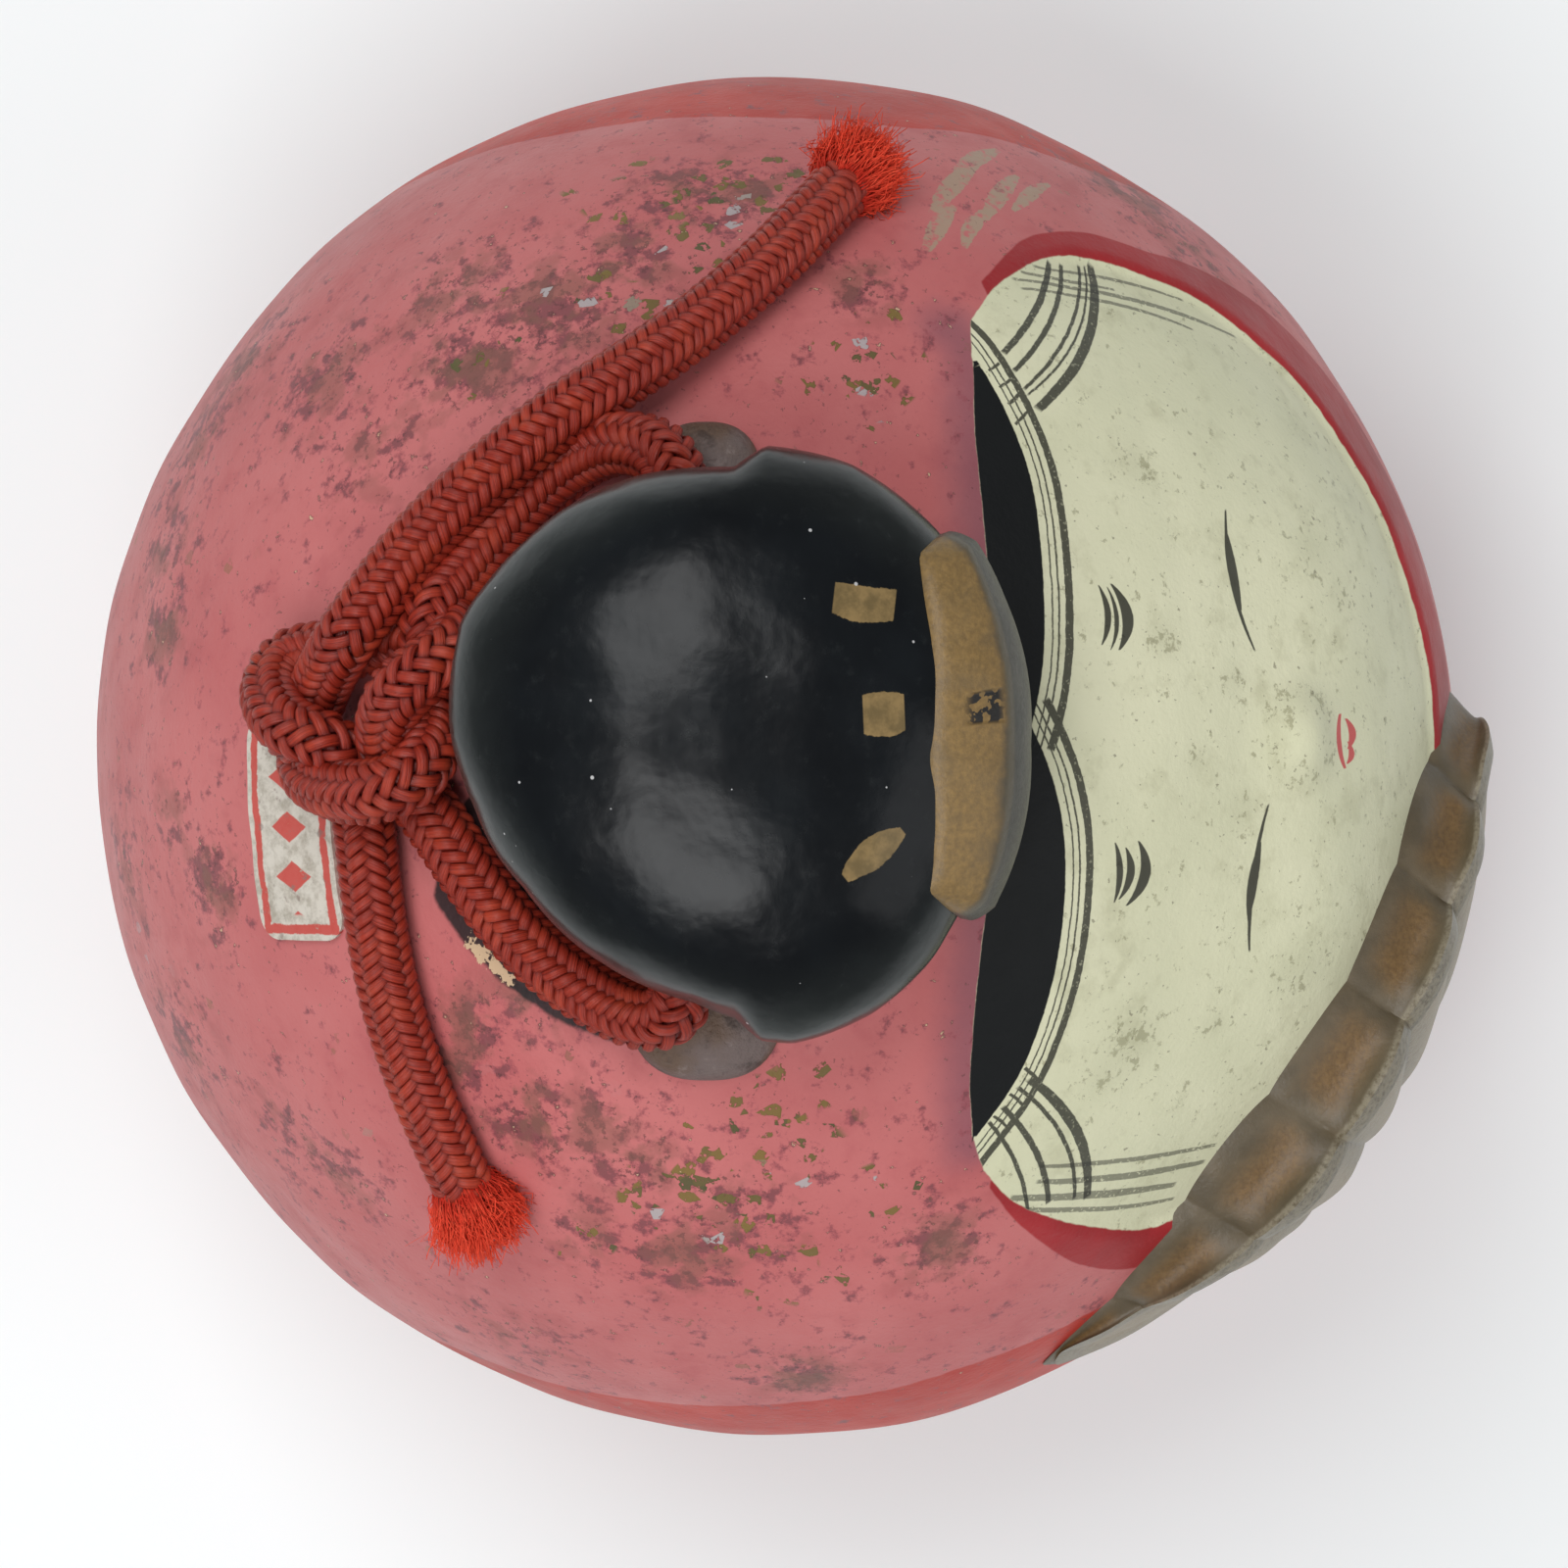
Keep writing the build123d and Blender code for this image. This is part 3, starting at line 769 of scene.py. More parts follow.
def paint_values(points):
    """Everything that the paint needs to know at each point of the body."""
    chart = on_chart(points)
    near = np.abs(chart).max(axis=1) < 60
    c = chart[near]
    face = smooth_curve(FACE_LEFT_EDGE + FACE_RIGHT_EDGE, 160)
    back = smooth_curve(HAIR_BACK_EDGE, 60)
    band = smooth_curve(BAND_OUTER_EDGE, 160)
    left = smooth_curve(HAIR_LEFT_EDGE, 90)
    right = smooth_curve(HAIR_RIGHT_EDGE, 90)
    parting = (1.5, -20.7)
    left_lobe = left[: np.argmin(np.hypot(*(left - parting).T)) + 1]
    right_lobe = right[np.argmin(np.hypot(*(right - parting).T)) :]
    hair = np.vstack([left_lobe, right_lobe, back])
    values = {name: np.full(len(points), -30.0) for name in ("face", "hair", "band")}
    values["face"][near] = inside_distance(c, np.vstack([face, back]))
    values["hair"][near] = inside_distance(c, hair)
    values["band"][near] = inside_distance(c, band)
    for name, curve, lobe in (("hair_left", left, left_lobe), ("hair_right", right[::-1], right_lobe[::-1])):
        offset, along = np.full(len(points), 30.0), np.zeros(len(points))
        offset[near], along[near] = along_curve(c, curve)
        if name == "hair_left":
            offset = -offset
        end = np.linalg.norm(np.diff(lobe, axis=0), axis=1).sum()
        values[name] = np.stack([offset, end - along, np.zeros(len(points))], 1)
    azimuth = np.degrees(np.arctan2(points[:, 1], points[:, 0]))
    values["hem"] = points[:, 2] - hem_height(azimuth)
    from_knot = points[:, :2] - BUN_AT
    turns, edge = np.array(NAPE_EDGE).T
    way = np.degrees(np.arctan2(from_knot[:, 1], from_knot[:, 0])) % 360
    behind = np.interp(way, turns, edge, 13.5, 13.5)
    nape = behind - np.hypot(from_knot[:, 0], from_knot[:, 1])
    values["nape"] = np.where(points[:, 2] > WIDEST_Z, nape, -30)
    wear = [patch_weight(points, patches) for patches in (METAL_FLAKES, TARNISH, CREAM_CHIPS)]
    values["wear"] = np.stack(wear, 1)
    grime_and_shade = np.zeros(len(points))
    for middle, radius, weight in FACE_GRIME_AND_SHADE:
        away = np.hypot(chart[:, 0] - middle[0], chart[:, 1] - middle[1])
        # about the nose the weight is a ring: dirt and painted shade in the crease round its bump
        ring = np.abs(away - 2.6) if middle == NOSE_AT else away
        grime_and_shade = np.maximum(grime_and_shade, weight * np.exp(-((ring / radius) ** 2)))
    values["grime_and_shade"] = grime_and_shade
    values["chart"] = np.column_stack([chart, np.zeros(len(points))])
    return values


# ---------------------------------------------------------------- body

COLUMNS = 640


def arc_points(centre_r, centre_z, radius, start, stop, count):
    """Radius and height along an arc between two angles, in degrees up from level."""
    a = np.radians(np.linspace(start, stop, count))
    return np.stack([centre_r + radius * np.cos(a), centre_z + radius * np.sin(a)], 1)


def outer_profile():
    dome = arc_points(0, WIDEST_Z, BODY_R, 89.7, 0, 176)
    foot = -degrees(acos((UNDER_R - BODY_R + BASE_R) / UNDER_R))
    under = arc_points(BODY_R - UNDER_R, WIDEST_Z, UNDER_R, 0, foot + 2.2, 74)[1:]
    rim = np.linspace(0, 1, 7)[1:, None]
    corner, flat = np.array((BASE_R, 0.0)), np.array((BASE_R - 1.7, 0.0))
    rounded = (1 - rim) ** 2 * under[-1] + 2 * rim * (1 - rim) * corner + rim**2 * flat
    return np.vstack([dome, under, rounded])


def inner_profile():
    """From where the bowl-shaped floor meets the wall, up to the inside of the apex."""
    radius, centre_r, bowl_z = UNDER_R - WALL, BODY_R - UNDER_R, FLOOR_T + BOWL_R
    angles = np.linspace(-60, 0, 1200)
    wall = arc_points(centre_r, WIDEST_Z, radius, -60, 0, 1200)
    gap = np.hypot(wall[:, 0], wall[:, 1] - bowl_z) - BOWL_R
    meet = angles[np.argmin(np.abs(gap))]
    low = arc_points(centre_r, WIDEST_Z, radius, meet, 0, 14)
    high = arc_points(0, WIDEST_Z, BODY_R - WALL, 0, 89.7, 24)[1:]
    return np.vstack([low, high])


def slot_reach(azimuth, grow=0.0):
    """Distance from the axis to the edge of the sounding slit, made wider all round by grow."""
    half = SLIT_W / 2 + grow
    centre = (SLIT_L - SLIT_W) / 2
    c, s = np.abs(np.cos(azimuth)), np.abs(np.sin(azimuth))
    side = half / np.maximum(s, 1e-9)
    end = centre * c + np.sqrt(np.maximum(half**2 - (centre * s) ** 2, 0))
    return np.where(side * c <= centre, side, end)


def body_rows():
    """The closed surface of the shell as rings: outside, base, slit, bowl and inside."""
    azimuth = np.arange(COLUMNS) * 2 * pi / COLUMNS
    slot, chamfer, corner = (slot_reach(azimuth, grow) for grow in (0.0, 0.5, 0.15))
    rows = [(np.full(COLUMNS, r), np.full(COLUMNS, z)) for r, z in outer_profile()]
    outer_count = len(rows)
    base_edge = rows[-1][0]
    for t in np.linspace(0, 1, 12)[1:]:
        rows.append((base_edge * (1 - t) + chamfer * t, np.zeros(COLUMNS)))
    rows.append((corner, np.full(COLUMNS, 0.15)))
    for t in np.linspace(0, 1, 5):
        bowl = FLOOR_T + BOWL_R - np.sqrt(BOWL_R**2 - slot**2)
        rows.append((slot, 0.5 + (bowl - 0.5) * t))
    inner = inner_profile()
    for t in np.linspace(0, 1, 12)[1:-1]:
        r = slot * (1 - t) + inner[0, 0] * t
        rows.append((r, FLOOR_T + BOWL_R - np.sqrt(BOWL_R**2 - r**2)))
    rows += [(np.full(COLUMNS, r), np.full(COLUMNS, z)) for r, z in inner]
    grid = [np.stack([r * np.cos(azimuth), r * np.sin(azimuth), z], 1) for r, z in rows]
    return np.array(grid), outer_count


def model_clay(grid, outer_count):
    """Raises the nose, sinks the face a little inside its band, and makes the pressed clay uneven."""
    rows, columns, _ = grid.shape
    outside = grid[:outer_count].reshape(-1, 3)
    chart = on_chart(outside)
    away = np.hypot(chart[:, 0] - NOSE_AT[0], chart[:, 1] - NOSE_AT[1])
    nose = NOSE_RISE * np.exp(-((away / NOSE_R) ** 2))
    face = smooth_curve(FACE_LEFT_EDGE + FACE_RIGHT_EDGE, 90)
    edge = inside_distance(chart, np.vstack([face, smooth_curve(HAIR_BACK_EDGE, 30)]))
    front = np.clip((chart[:, 1] + 17) / 8, 0, 1)
    sunk = -0.55 * front * np.clip(edge / 0.9 + 0.5, 0, 1)
    hollow = -0.35 * np.exp(-(((chart[:, 0] - 1) / 9) ** 2) - ((chart[:, 1] + 4) / 4) ** 2)
    low = ((chart[:, 1] - 5) / 7) ** 2
    cheeks = sum(0.5 * np.exp(-(((chart[:, 0] - x) / 8) ** 2) - low) for x in (13, -12))
    uneven = 0.22 * wave_noise(outside, 26, 3) + 0.07 * wave_noise(outside, 9, 4)
    steady = np.clip(outside[:, 2] / 6, 0, 1)
    out = outside - (0, 0, WIDEST_Z)
    out /= np.linalg.norm(out, axis=1)[:, None]
    rise = (nose + sunk + hollow + cheeks + uneven) * steady
    grid[:outer_count] = (outside + out * rise[:, None]).reshape(outer_count, columns, 3)
    return grid


def half_shell(name, grid, outer_count, first, paint, clay):
    """Half of the shell, closed along the seam, from one column to the one opposite."""
    columns = (first + np.arange(COLUMNS // 2 + 1)) % COLUMNS
    half = grid[:, columns]
    rows, count, _ = half.shape
    quads = grid_faces(rows, count)
    outline = np.arange(rows) * count
    caps = [outline[::-1].tolist(), (outline + count - 1).tolist()]
    last = (rows - 1) * count
    tops = [np.arange(count)[::-1].tolist(), (np.arange(count) + last).tolist()]
    joint = [[0, count - 1, last + count - 1, last]]
    faces = quads[:, ::-1].tolist() + caps + joint + tops
    piece = make_piece(name, half.reshape(-1, 3), faces, paint)
    piece.data.materials.append(clay)
    bare = np.ones(len(faces), int)
    bare[: (outer_count - 1) * (count - 1)] = 0
    bare[-2] = 0  # the small cap at the apex of the outside
    piece.data.polygons.foreach_set("material_index", bare)
    face_outward(piece)
    for key, values in paint_values(half.reshape(-1, 3)).items():
        set_values(piece, key, values)
    mark_sharp(piece, 50)
    return piece


def pointed_stroke_group():
    """A node group that gives the ink of one brush stroke at a point of the chart."""
    group = bpy.data.node_groups.new("brush_stroke", "ShaderNodeTree")
    sockets = [
        ("Chart", "NodeSocketVector"),
        ("Middle", "NodeSocketVector"),
        ("Along", "NodeSocketVector"),
        ("Across", "NodeSocketVector"),
        ("Half length", "NodeSocketFloat"),
        ("Sag", "NodeSocketFloat"),
        ("Half width", "NodeSocketFloat"),
        ("Taper", "NodeSocketFloat"),
        ("Shake", "NodeSocketFloat"),
    ]
    for name, kind in sockets:
        group.interface.new_socket(name, in_out="INPUT", socket_type=kind)
    group.interface.new_socket("Ink", in_out="OUTPUT", socket_type="NodeSocketFloat")
    given = group.nodes.new("NodeGroupInput").outputs
    result = group.nodes.new("NodeGroupOutput").inputs

    def math(operation, a, b, c=None):
        made = group.nodes.new("ShaderNodeMath")
        made.operation = operation
        for value, socket in zip((a, b, c), made.inputs):
            if isinstance(value, bpy.types.NodeSocket):
                group.links.new(value, socket)
            elif value is not None:
                socket.default_value = value
        return made.outputs[0]

    def dot(operation, a, b, output):
        made = group.nodes.new("ShaderNodeVectorMath")
        made.operation = operation
        group.links.new(a, made.inputs[0])
        group.links.new(b, made.inputs[1])
        return made.outputs[output]

    rel = dot("SUBTRACT", given["Chart"], given["Middle"], "Vector")
    part = math("DIVIDE", dot("DOT_PRODUCT", rel, given["Along"], "Value"), given["Half length"])
    rest = math("SUBTRACT", 1.0, math("MULTIPLY", part, part))
    bow = math("MULTIPLY", given["Sag"], rest)
    off = math("SUBTRACT", dot("DOT_PRODUCT", rel, given["Across"], "Value"), bow)
    off = math("ABSOLUTE", math("ADD", off, given["Shake"]), None)
    full = math("SUBTRACT", 1.0, given["Taper"])
    belly = math("MAXIMUM", math("MULTIPLY_ADD", rest, full, given["Taper"]), 0.0)
    width = math("MULTIPLY", given["Half width"], belly)
    inside = math("MULTIPLY", math("SUBTRACT", width, off), 18.0)
    ink = math("ADD", inside, 0.5)
    ink.node.use_clamp = True
    ends = math("MULTIPLY", rest, 14.0)
    ends.node.use_clamp = True
    group.links.new(math("MULTIPLY", ink, ends), result["Ink"])
    return group


def add_strokes(m, group, chart, strokes, shake):
    """The ink of several strokes together."""
    total = 0.0
    for start, middle, end, half_width, taper in strokes:
        start, middle, end = (np.array(p) for p in (start, middle, end))
        chord = end - start
        half = np.linalg.norm(chord) / 2
        along = chord / (2 * half)
        across = np.array((-along[1], along[0]))
        made = m.node("Group", node_tree=group)
        plain = {
            "Middle": (*((start + end) / 2), 0),
            "Along": (*along, 0),
            "Across": (*across, 0),
            "Half length": half,
            "Sag": (middle - (start + end) / 2) @ across,
            "Half width": half_width,
            "Taper": taper,
        }
        for name, value in plain.items():
            made.inputs[name].default_value = value
        m.feed(chart, made.inputs["Chart"])
        m.feed(shake, made.inputs["Shake"])
        total = m.math("MAXIMUM", total, made.outputs["Ink"])
    return total


def hair_ink(m, shake):
    """The parallel lines that follow the edge of the hair over the brow."""
    total = 0.0
    for name in ("hair_left", "hair_right"):
        offset, left, _ = m.split(m.value(name, vector=True))
        offset = m.add(offset, shake)
        for distance, half_width, overrun in HAIR_LINES:
            gap = m.distance(offset, distance)
            line = m.mask(gap, half_width + 0.03, half_width - 0.03)
            line = m.both(line, m.mask(left, -overrun - 0.1, -overrun + 0.1))
            total = m.math("MAXIMUM", total, line)
    return total


def paint_material():
    """The painted clay: pink mantle, red robe, cream face with brush lines, flakes and tarnish."""
    m = Finish("painted_clay", roughness=0.5, specular=0.26)
    group = pointed_stroke_group()
    chart = m.value("chart", vector=True)
    grain = m.noise(0.35, detail=3)
    mottle = m.noise(2.6, detail=4)
    cloud = m.noise(11.0, detail=3)
    shake = m.times(m.math("SUBTRACT", m.noise(1.1, detail=3), 0.5), 0.14)
    fine_shake = m.times(m.math("SUBTRACT", m.noise(0.3, detail=2), 0.5), 0.08)
    tremble = m.add(shake, fine_shake)
    flakes, tarnish, chips = m.split(m.value("wear", vector=True))

    # Mantle and robe
    pink = m.mix(m.mask(cloud, 0.3, 0.7), srgb(187, 101, 101), srgb(196, 113, 112))
    pink = m.mix(m.both(m.mask(mottle, 0.5, 0.75), 0.35), pink, srgb(172, 84, 88))
    robe = m.mix(m.mask(cloud, 0.35, 0.7), srgb(176, 50, 40), srgb(192, 60, 48))
    hem = m.mask(m.add(m.value("hem"), m.times(shake, 3.0)), -0.12, 0.12)
    colour = m.mix(hem, robe, pink)

    # Purple shading on the mantle behind the hair
    hair = m.value("hair")
    shade = m.both(m.mask(m.add(hair, m.times(shake, 6.0)), -3.4, -0.2), hem)
    colour = m.mix(m.both(shade, 0.6), colour, srgb(118, 78, 92))

    # Faint green strokes on the mantle
    green = add_strokes(m, group, chart, GREEN_STROKES, m.times(tremble, 3.0))
    worn = m.mask(m.noise(0.7, detail=4), 0.34, 0.50)
    colour = m.mix(m.both(green, worn, 0.72), colour, srgb(158, 152, 126))

    # Tarnished blotches and metal flakes
    specks = m.noise(1.5, detail=5, rough=0.68)
    crumbs = m.noise(0.55, detail=4, rough=0.65)
    soft = m.scaled(tarnish, 0.165, specks)
    colour = m.mix(m.both(m.mask(soft, 0.57, 0.65), 0.6), colour, srgb(146, 74, 82))
    colour = m.mix(m.both(m.mask(soft, 0.635, 0.69), 0.6), colour, srgb(106, 66, 70))
    dark = m.scaled(tarnish, 0.10, crumbs)
    colour = m.mix(m.both(m.mask(dark, 0.63, 0.68), 0.7), colour, srgb(96, 60, 62))
    veil = m.both(m.mask(m.scaled(tarnish, 0.14, mottle), 0.54, 0.66), tarnish, 0.7)
    colour = m.mix(veil, colour, srgb(126, 88, 76))
    cell = m.cells(0.85)
    chance, tint, _ = m.split(cell["Color"])
    thinned = m.times(cell["Distance"], -0.28)
    torn = m.mask(m.add(m.noise(0.4, detail=3), thinned), 0.30, 0.34)
    metal = m.both(m.mask(m.math("SUBTRACT", m.times(flakes, 0.5), chance), -0.01, 0.01), torn)
    tone = m.mix(tint, srgb(76, 84, 52), srgb(128, 108, 54))
    tone = m.mix(m.mask(tint, 0.90, 0.93), tone, srgb(176, 168, 168))
    colour = m.mix(m.both(metal, 0.92), colour, tone)

    # Black paint behind the topknot, chipped to the cream ground
    nape = m.mask(m.scaled(shake, 4.0, m.value("nape")), -0.15, 0.15)
    colour = m.mix(m.both(nape, 0.94), colour, srgb(30, 30, 32))
    colour = m.mix(m.mask(m.scaled(crumbs, 2.4, chips), 1.66, 1.74), colour, srgb(206, 176, 142))

    # Band round the face, the face and its brush lines
    band = m.mask(m.add(m.value("band"), shake), -0.08, 0.08)
    deep = m.mix(m.mask(cloud, 0.3, 0.7), srgb(150, 36, 40), srgb(168, 44, 48))
    colour = m.mix(band, colour, deep)
    face = m.mask(m.add(m.value("face"), m.times(shake, 1.6)), -0.06, 0.06)
    cream = m.mix(m.mask(cloud, 0.3, 0.7), srgb(211, 211, 178), srgb(221, 220, 188))
    aged = m.both(m.mask(m.noise(3.0, detail=5, rough=0.65), 0.50, 0.72), 0.4)
    cream = m.mix(aged, cream, srgb(176, 174, 140))
    # Stains darken the cream; round the nose the darkening is dirt and painted shade in the crease
    grime_and_shade = m.value("grime_and_shade")
    spot = m.both(m.mask(m.scaled(grime_and_shade, 0.12, m.noise(0.9, detail=5, rough=0.7)), 0.60, 0.68), 0.6)
    cream = m.mix(spot, cream, srgb(142, 138, 106))
    cream = m.mix(m.both(grime_and_shade, 0.22), cream, srgb(150, 150, 116))
    dot = m.both(m.mask(m.scaled(grime_and_shade, 0.06, m.noise(0.4, detail=3)), 0.685, 0.72), 0.6)
    cream = m.mix(dot, cream, srgb(110, 104, 84))
    colour = m.mix(face, colour, cream)
    ink = srgb(48, 48, 40)
    dry = m.mask(m.noise(0.22, detail=2), 0.28, 0.42)
    lines = m.either(hair_ink(m, tremble), add_strokes(m, group, chart, LOCKS + LADDER, tremble))
    lines = m.both(lines, face, m.scaled(dry, 0.3, 0.62))
    colour = m.mix(lines, colour, ink)
    sides = add_strokes(m, group, chart, SIDE_LINES, tremble)
    colour = m.mix(m.both(sides, face, dry, 0.66), colour, ink)
    features = add_strokes(m, group, chart, BROWS + EYES, m.times(tremble, 0.5))
    colour = m.mix(m.both(features, 0.93), colour, srgb(40, 40, 34))
    lips = add_strokes(m, group, chart, LIPS, m.times(tremble, 0.5))
    colour = m.mix(m.both(lips, 0.9), colour, srgb(196, 50, 62))
    black = m.mask(m.add(hair, m.times(tremble, 0.7)), -0.04, 0.04)
    colour = m.mix(black, colour, srgb(12, 15, 16))

    rough = m.scaled(mottle, 0.22, 0.38)
    rough = m.scaled(black, 0.08, rough)
    height = m.scaled(m.noise(1.6, detail=3), 0.7, m.times(grain, 0.35))
    height = m.scaled(lines, 0.25, height)
    height = m.scaled(metal, 0.5, height)
    return m.finish(colour, roughness=rough, height=height, depth=0.10)


def clay_material():
    m = Finish("bare_clay", roughness=0.85, specular=0.2)
    grain = m.noise(0.5, detail=5)
    colour = m.mix(m.mask(m.noise(6.0), 0.3, 0.7), srgb(178, 150, 122), srgb(196, 172, 144))
    colour = m.mix(m.both(m.mask(grain, 0.55, 0.8), 0.5), colour, srgb(140, 112, 88))
    return m.finish(colour, height=grain, depth=0.2)


def add_body():
    grid, outer_count = body_rows()
    grid = model_clay(grid, outer_count)
    paint, clay = paint_material(), clay_material()
    rear = half_shell("rear_shell", grid, outer_count, 0, paint, clay)
    front = half_shell("front_shell", grid, outer_count, COLUMNS // 2, paint, clay)
    for piece, node in ((rear, "body_rear_shell"), (front, "body_front_shell")):
        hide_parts(node)
    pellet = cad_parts["rattle_ball"]
    pellet.data.materials.clear()
    pellet.data.materials.append(clay)


# ---------------------------------------------------------------- topknot, comb and hair bar

# Seen from above: direction round the topknot in degrees, radius
BUN_OUTLINE = [
    (-174, 16.6), (-168, 17.1), (-152, 17.1), (-136, 16.5), (-120, 15.7), (-90, 15.2), (-62, 15.8),
    (-44, 16.5), (-24, 17.0), (-7, 16.9), (-1, 15.6), (20, 15.8), (45, 16.0), (66, 16.5), (85, 15.7),
    (104, 14.6), (125, 13.9), (150, 14.1), (172, 14.5), (181, 15.2),
]
BUN_NECK, BUN_FOOT = 0.87, 0.95
COMB_FROM, COMB_TO = -127.0, -45.0
COMB_INNER_Y = -8.2
COMB_RIDGE = 0.36  # share of the way across the comb
GOLD_MARKS = [
    ((8.2, -3.3), (7.9, -5.0), (7.8, -6.7), 1.0, 0.85),
    ((1.9, -4.9), (1.9, -6.0), (2.0, -7.2), 1.2, 0.85),
    ((-7.0, -3.9), (-5.8, -5.3), (-4.4, -7.1), 0.85, 0.25),
]


def bun_radius(azimuth):
    """The outline's radius, with its table repeated a turn each way so that it closes."""
    table = sorted((a + shift, r) for shift in (-360, 0, 360) for a, r in BUN_OUTLINE)
    turns, radii = np.array(table).T
    return np.interp((azimuth + 180) % 360 - 180, turns, radii)


def bun_reach(azimuth, polar):
    """The outline's radius, rounded off away from the widest level so that its notches fade on the top."""
    around = np.arange(-180, 180, 3.0)
    window = np.radians(around[:, None] - around[None, :])
    spread = np.exp(6 * (np.cos(window) - 1))
    even = (spread @ bun_radius(around)) / spread.sum(axis=1)
    rounded = np.interp((azimuth + 180) % 360 - 180, np.r_[around, 180], np.r_[even, even[0]])
    share = smooth_step(np.clip((polar - 50) / 34, 0, 1))
    return rounded + (bun_radius(azimuth) - rounded) * share


def bun_point(azimuth, polar):
    """A point of the topknot's surface: polar is 0 at the top, 90 at the widest level, 150 at the foot."""
    azimuth, polar = np.broadcast_arrays(np.asarray(azimuth, float), np.asarray(polar, float))
    reach = bun_reach(azimuth, polar)
    tilt = np.radians(np.minimum(polar, 90))
    low = np.clip((polar - 90) / 60, 0, 1)
    narrow = 1 - (1 - BUN_NECK) * np.sin(np.minimum(low / 0.6, 1) * pi / 2) ** 2
    flare = narrow + (BUN_FOOT - BUN_NECK) * np.clip((low - 0.6) / 0.4, 0, 1) ** 2
    r = reach * np.sin(tilt) ** 0.94 * np.where(polar > 90, flare, 1)
    a = np.radians(azimuth)
    x, y = BUN_AT[0] + r * np.cos(a), BUN_AT[1] + r * np.sin(a)
    top = BUN_WIDE_Z + (BUN_TOP_Z - BUN_WIDE_Z) * np.cos(tilt) ** 0.85
    foot = dome_height(x, y) - 0.8
    z = np.where(polar > 90, BUN_WIDE_Z + (foot - BUN_WIDE_Z) * low, top)
    lobes = 0.35 * np.sin(tilt) * np.cos(2 * a) * np.where(polar > 90, 0, 1)
    return np.stack([x, y, z + lobes * np.cos(tilt)], -1)


def lacquer_material(stroke_group):
    m = Finish("black_lacquer", roughness=0.24, specular=0.22)
    cloud = m.noise(7.0, detail=3)
    rub = m.noise(1.2, detail=5, rough=0.65)
    colour = m.mix(m.mask(cloud, 0.35, 0.7), srgb(9, 12, 15), srgb(16, 20, 23))
    colour = m.mix(m.both(m.mask(rub, 0.55, 0.8), 0.25), colour, srgb(48, 52, 52))
    # Lighter towards the sides of the topknot: dust, and a painted reflection of the room at grazing angles
    dust_and_rim_reflection = m.both(m.value("rim"), m.scaled(cloud, 1.0, 0.1))
    colour = m.mix(dust_and_rim_reflection, colour, srgb(46, 50, 47))
    skirt = m.mask(m.value("skirt"), 0.0, 1.0)
    cracks = m.node("TexWave", wave_type="BANDS", bands_direction="X")
    stretch = m.node("Mapping")
    m.feed(m.where, stretch.inputs["Vector"])
    stretch.inputs["Scale"].default_value = (1.0, 0.3, 0.15)
    m.feed(stretch.outputs[0], cracks.inputs["Vector"])
    cracks.inputs["Scale"].default_value = 0.45
    cracks.inputs["Distortion"].default_value = 6.0
    cracks.inputs["Detail"].default_value = 3.0
    dull = m.mix(m.mask(cracks.outputs["Fac"], 0.05, 0.3), srgb(22, 24, 24), srgb(66, 74, 70))
    colour = m.mix(m.both(skirt, 0.85), colour, dull)
    shake = m.scaled(rub, 0.5, -0.25)
    marks = add_strokes(m, stroke_group, m.where, shifted(GOLD_MARKS), shake)
    on_top = m.mask(m.split(m.where)[2], BUN_WIDE_Z + 1, BUN_WIDE_Z + 2)
    gold = m.mix(m.mask(rub, 0.35, 0.65), srgb(104, 88, 58), srgb(134, 112, 74))
    colour = m.mix(m.both(marks, on_top), colour, gold)
    grain = m.cells(1.5)
    pick = m.split(grain["Color"])[0]
    size = m.scaled(pick, 0.10, -0.030)
    dust = m.mask(m.math("SUBTRACT", size, grain["Distance"]), -0.015, 0.01)
    colour = m.mix(m.both(dust, 0.8), colour, srgb(196, 196, 196))
    rough = m.scaled(rub, 0.12, 0.19)
    height = m.scaled(m.noise(4.5, detail=3), 0.9, m.times(rub, 0.1))
    return m.finish(colour, roughness=rough, height=height, depth=0.14)


def shifted(strokes):
    """Strokes given in the body's frame, moved to the frame that object coordinates have."""
    return [tuple((x, y + AXIS_Y) for x, y in s[:3]) + s[3:] for s in strokes]


def add_topknot(group):
    azimuth = np.linspace(-180, 180, 288, endpoint=False)
    polar = np.r_[np.linspace(1.2, 90, 56), np.linspace(90, 150, 30)[1:]]
    surface = bun_point(azimuth[None, :], polar[:, None])
    rows, columns, _ = surface.shape
    points = surface.reshape(-1, 3)
    out = points - (*BUN_AT, BUN_WIDE_Z - 4)
    out /= np.linalg.norm(out, axis=1)[:, None]
    points = points + out * (0.16 * wave_noise(points, 12, 21) + 0.05 * wave_noise(points, 4, 22))[:, None]
    faces = grid_faces(rows, columns, wrap_columns=True)[:, ::-1].tolist()
    faces.append(list(range(columns)))
    faces.append([(rows - 1) * columns + c for c in range(columns)])
    piece = make_piece("topknot_pouf", points, faces, lacquer_material(group))
    face_outward(piece)
    turn = (azimuth[None, :] - 84 + 180) % 360 - 180
    skirt = np.clip(1.4 - np.abs(turn) / 38, 0, 1) * np.clip((polar[:, None] - 84) / 14, 0, 1)
    set_values(piece, "skirt", skirt.ravel())
    # how far down the side a point is, for the dust and the painted reflection on the rim
    rim = np.clip((polar[:, None] - 48) / 34, 0, 1) + 0 * azimuth[None, :]
    set_values(piece, "rim", rim.ravel())
    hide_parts("topknot")


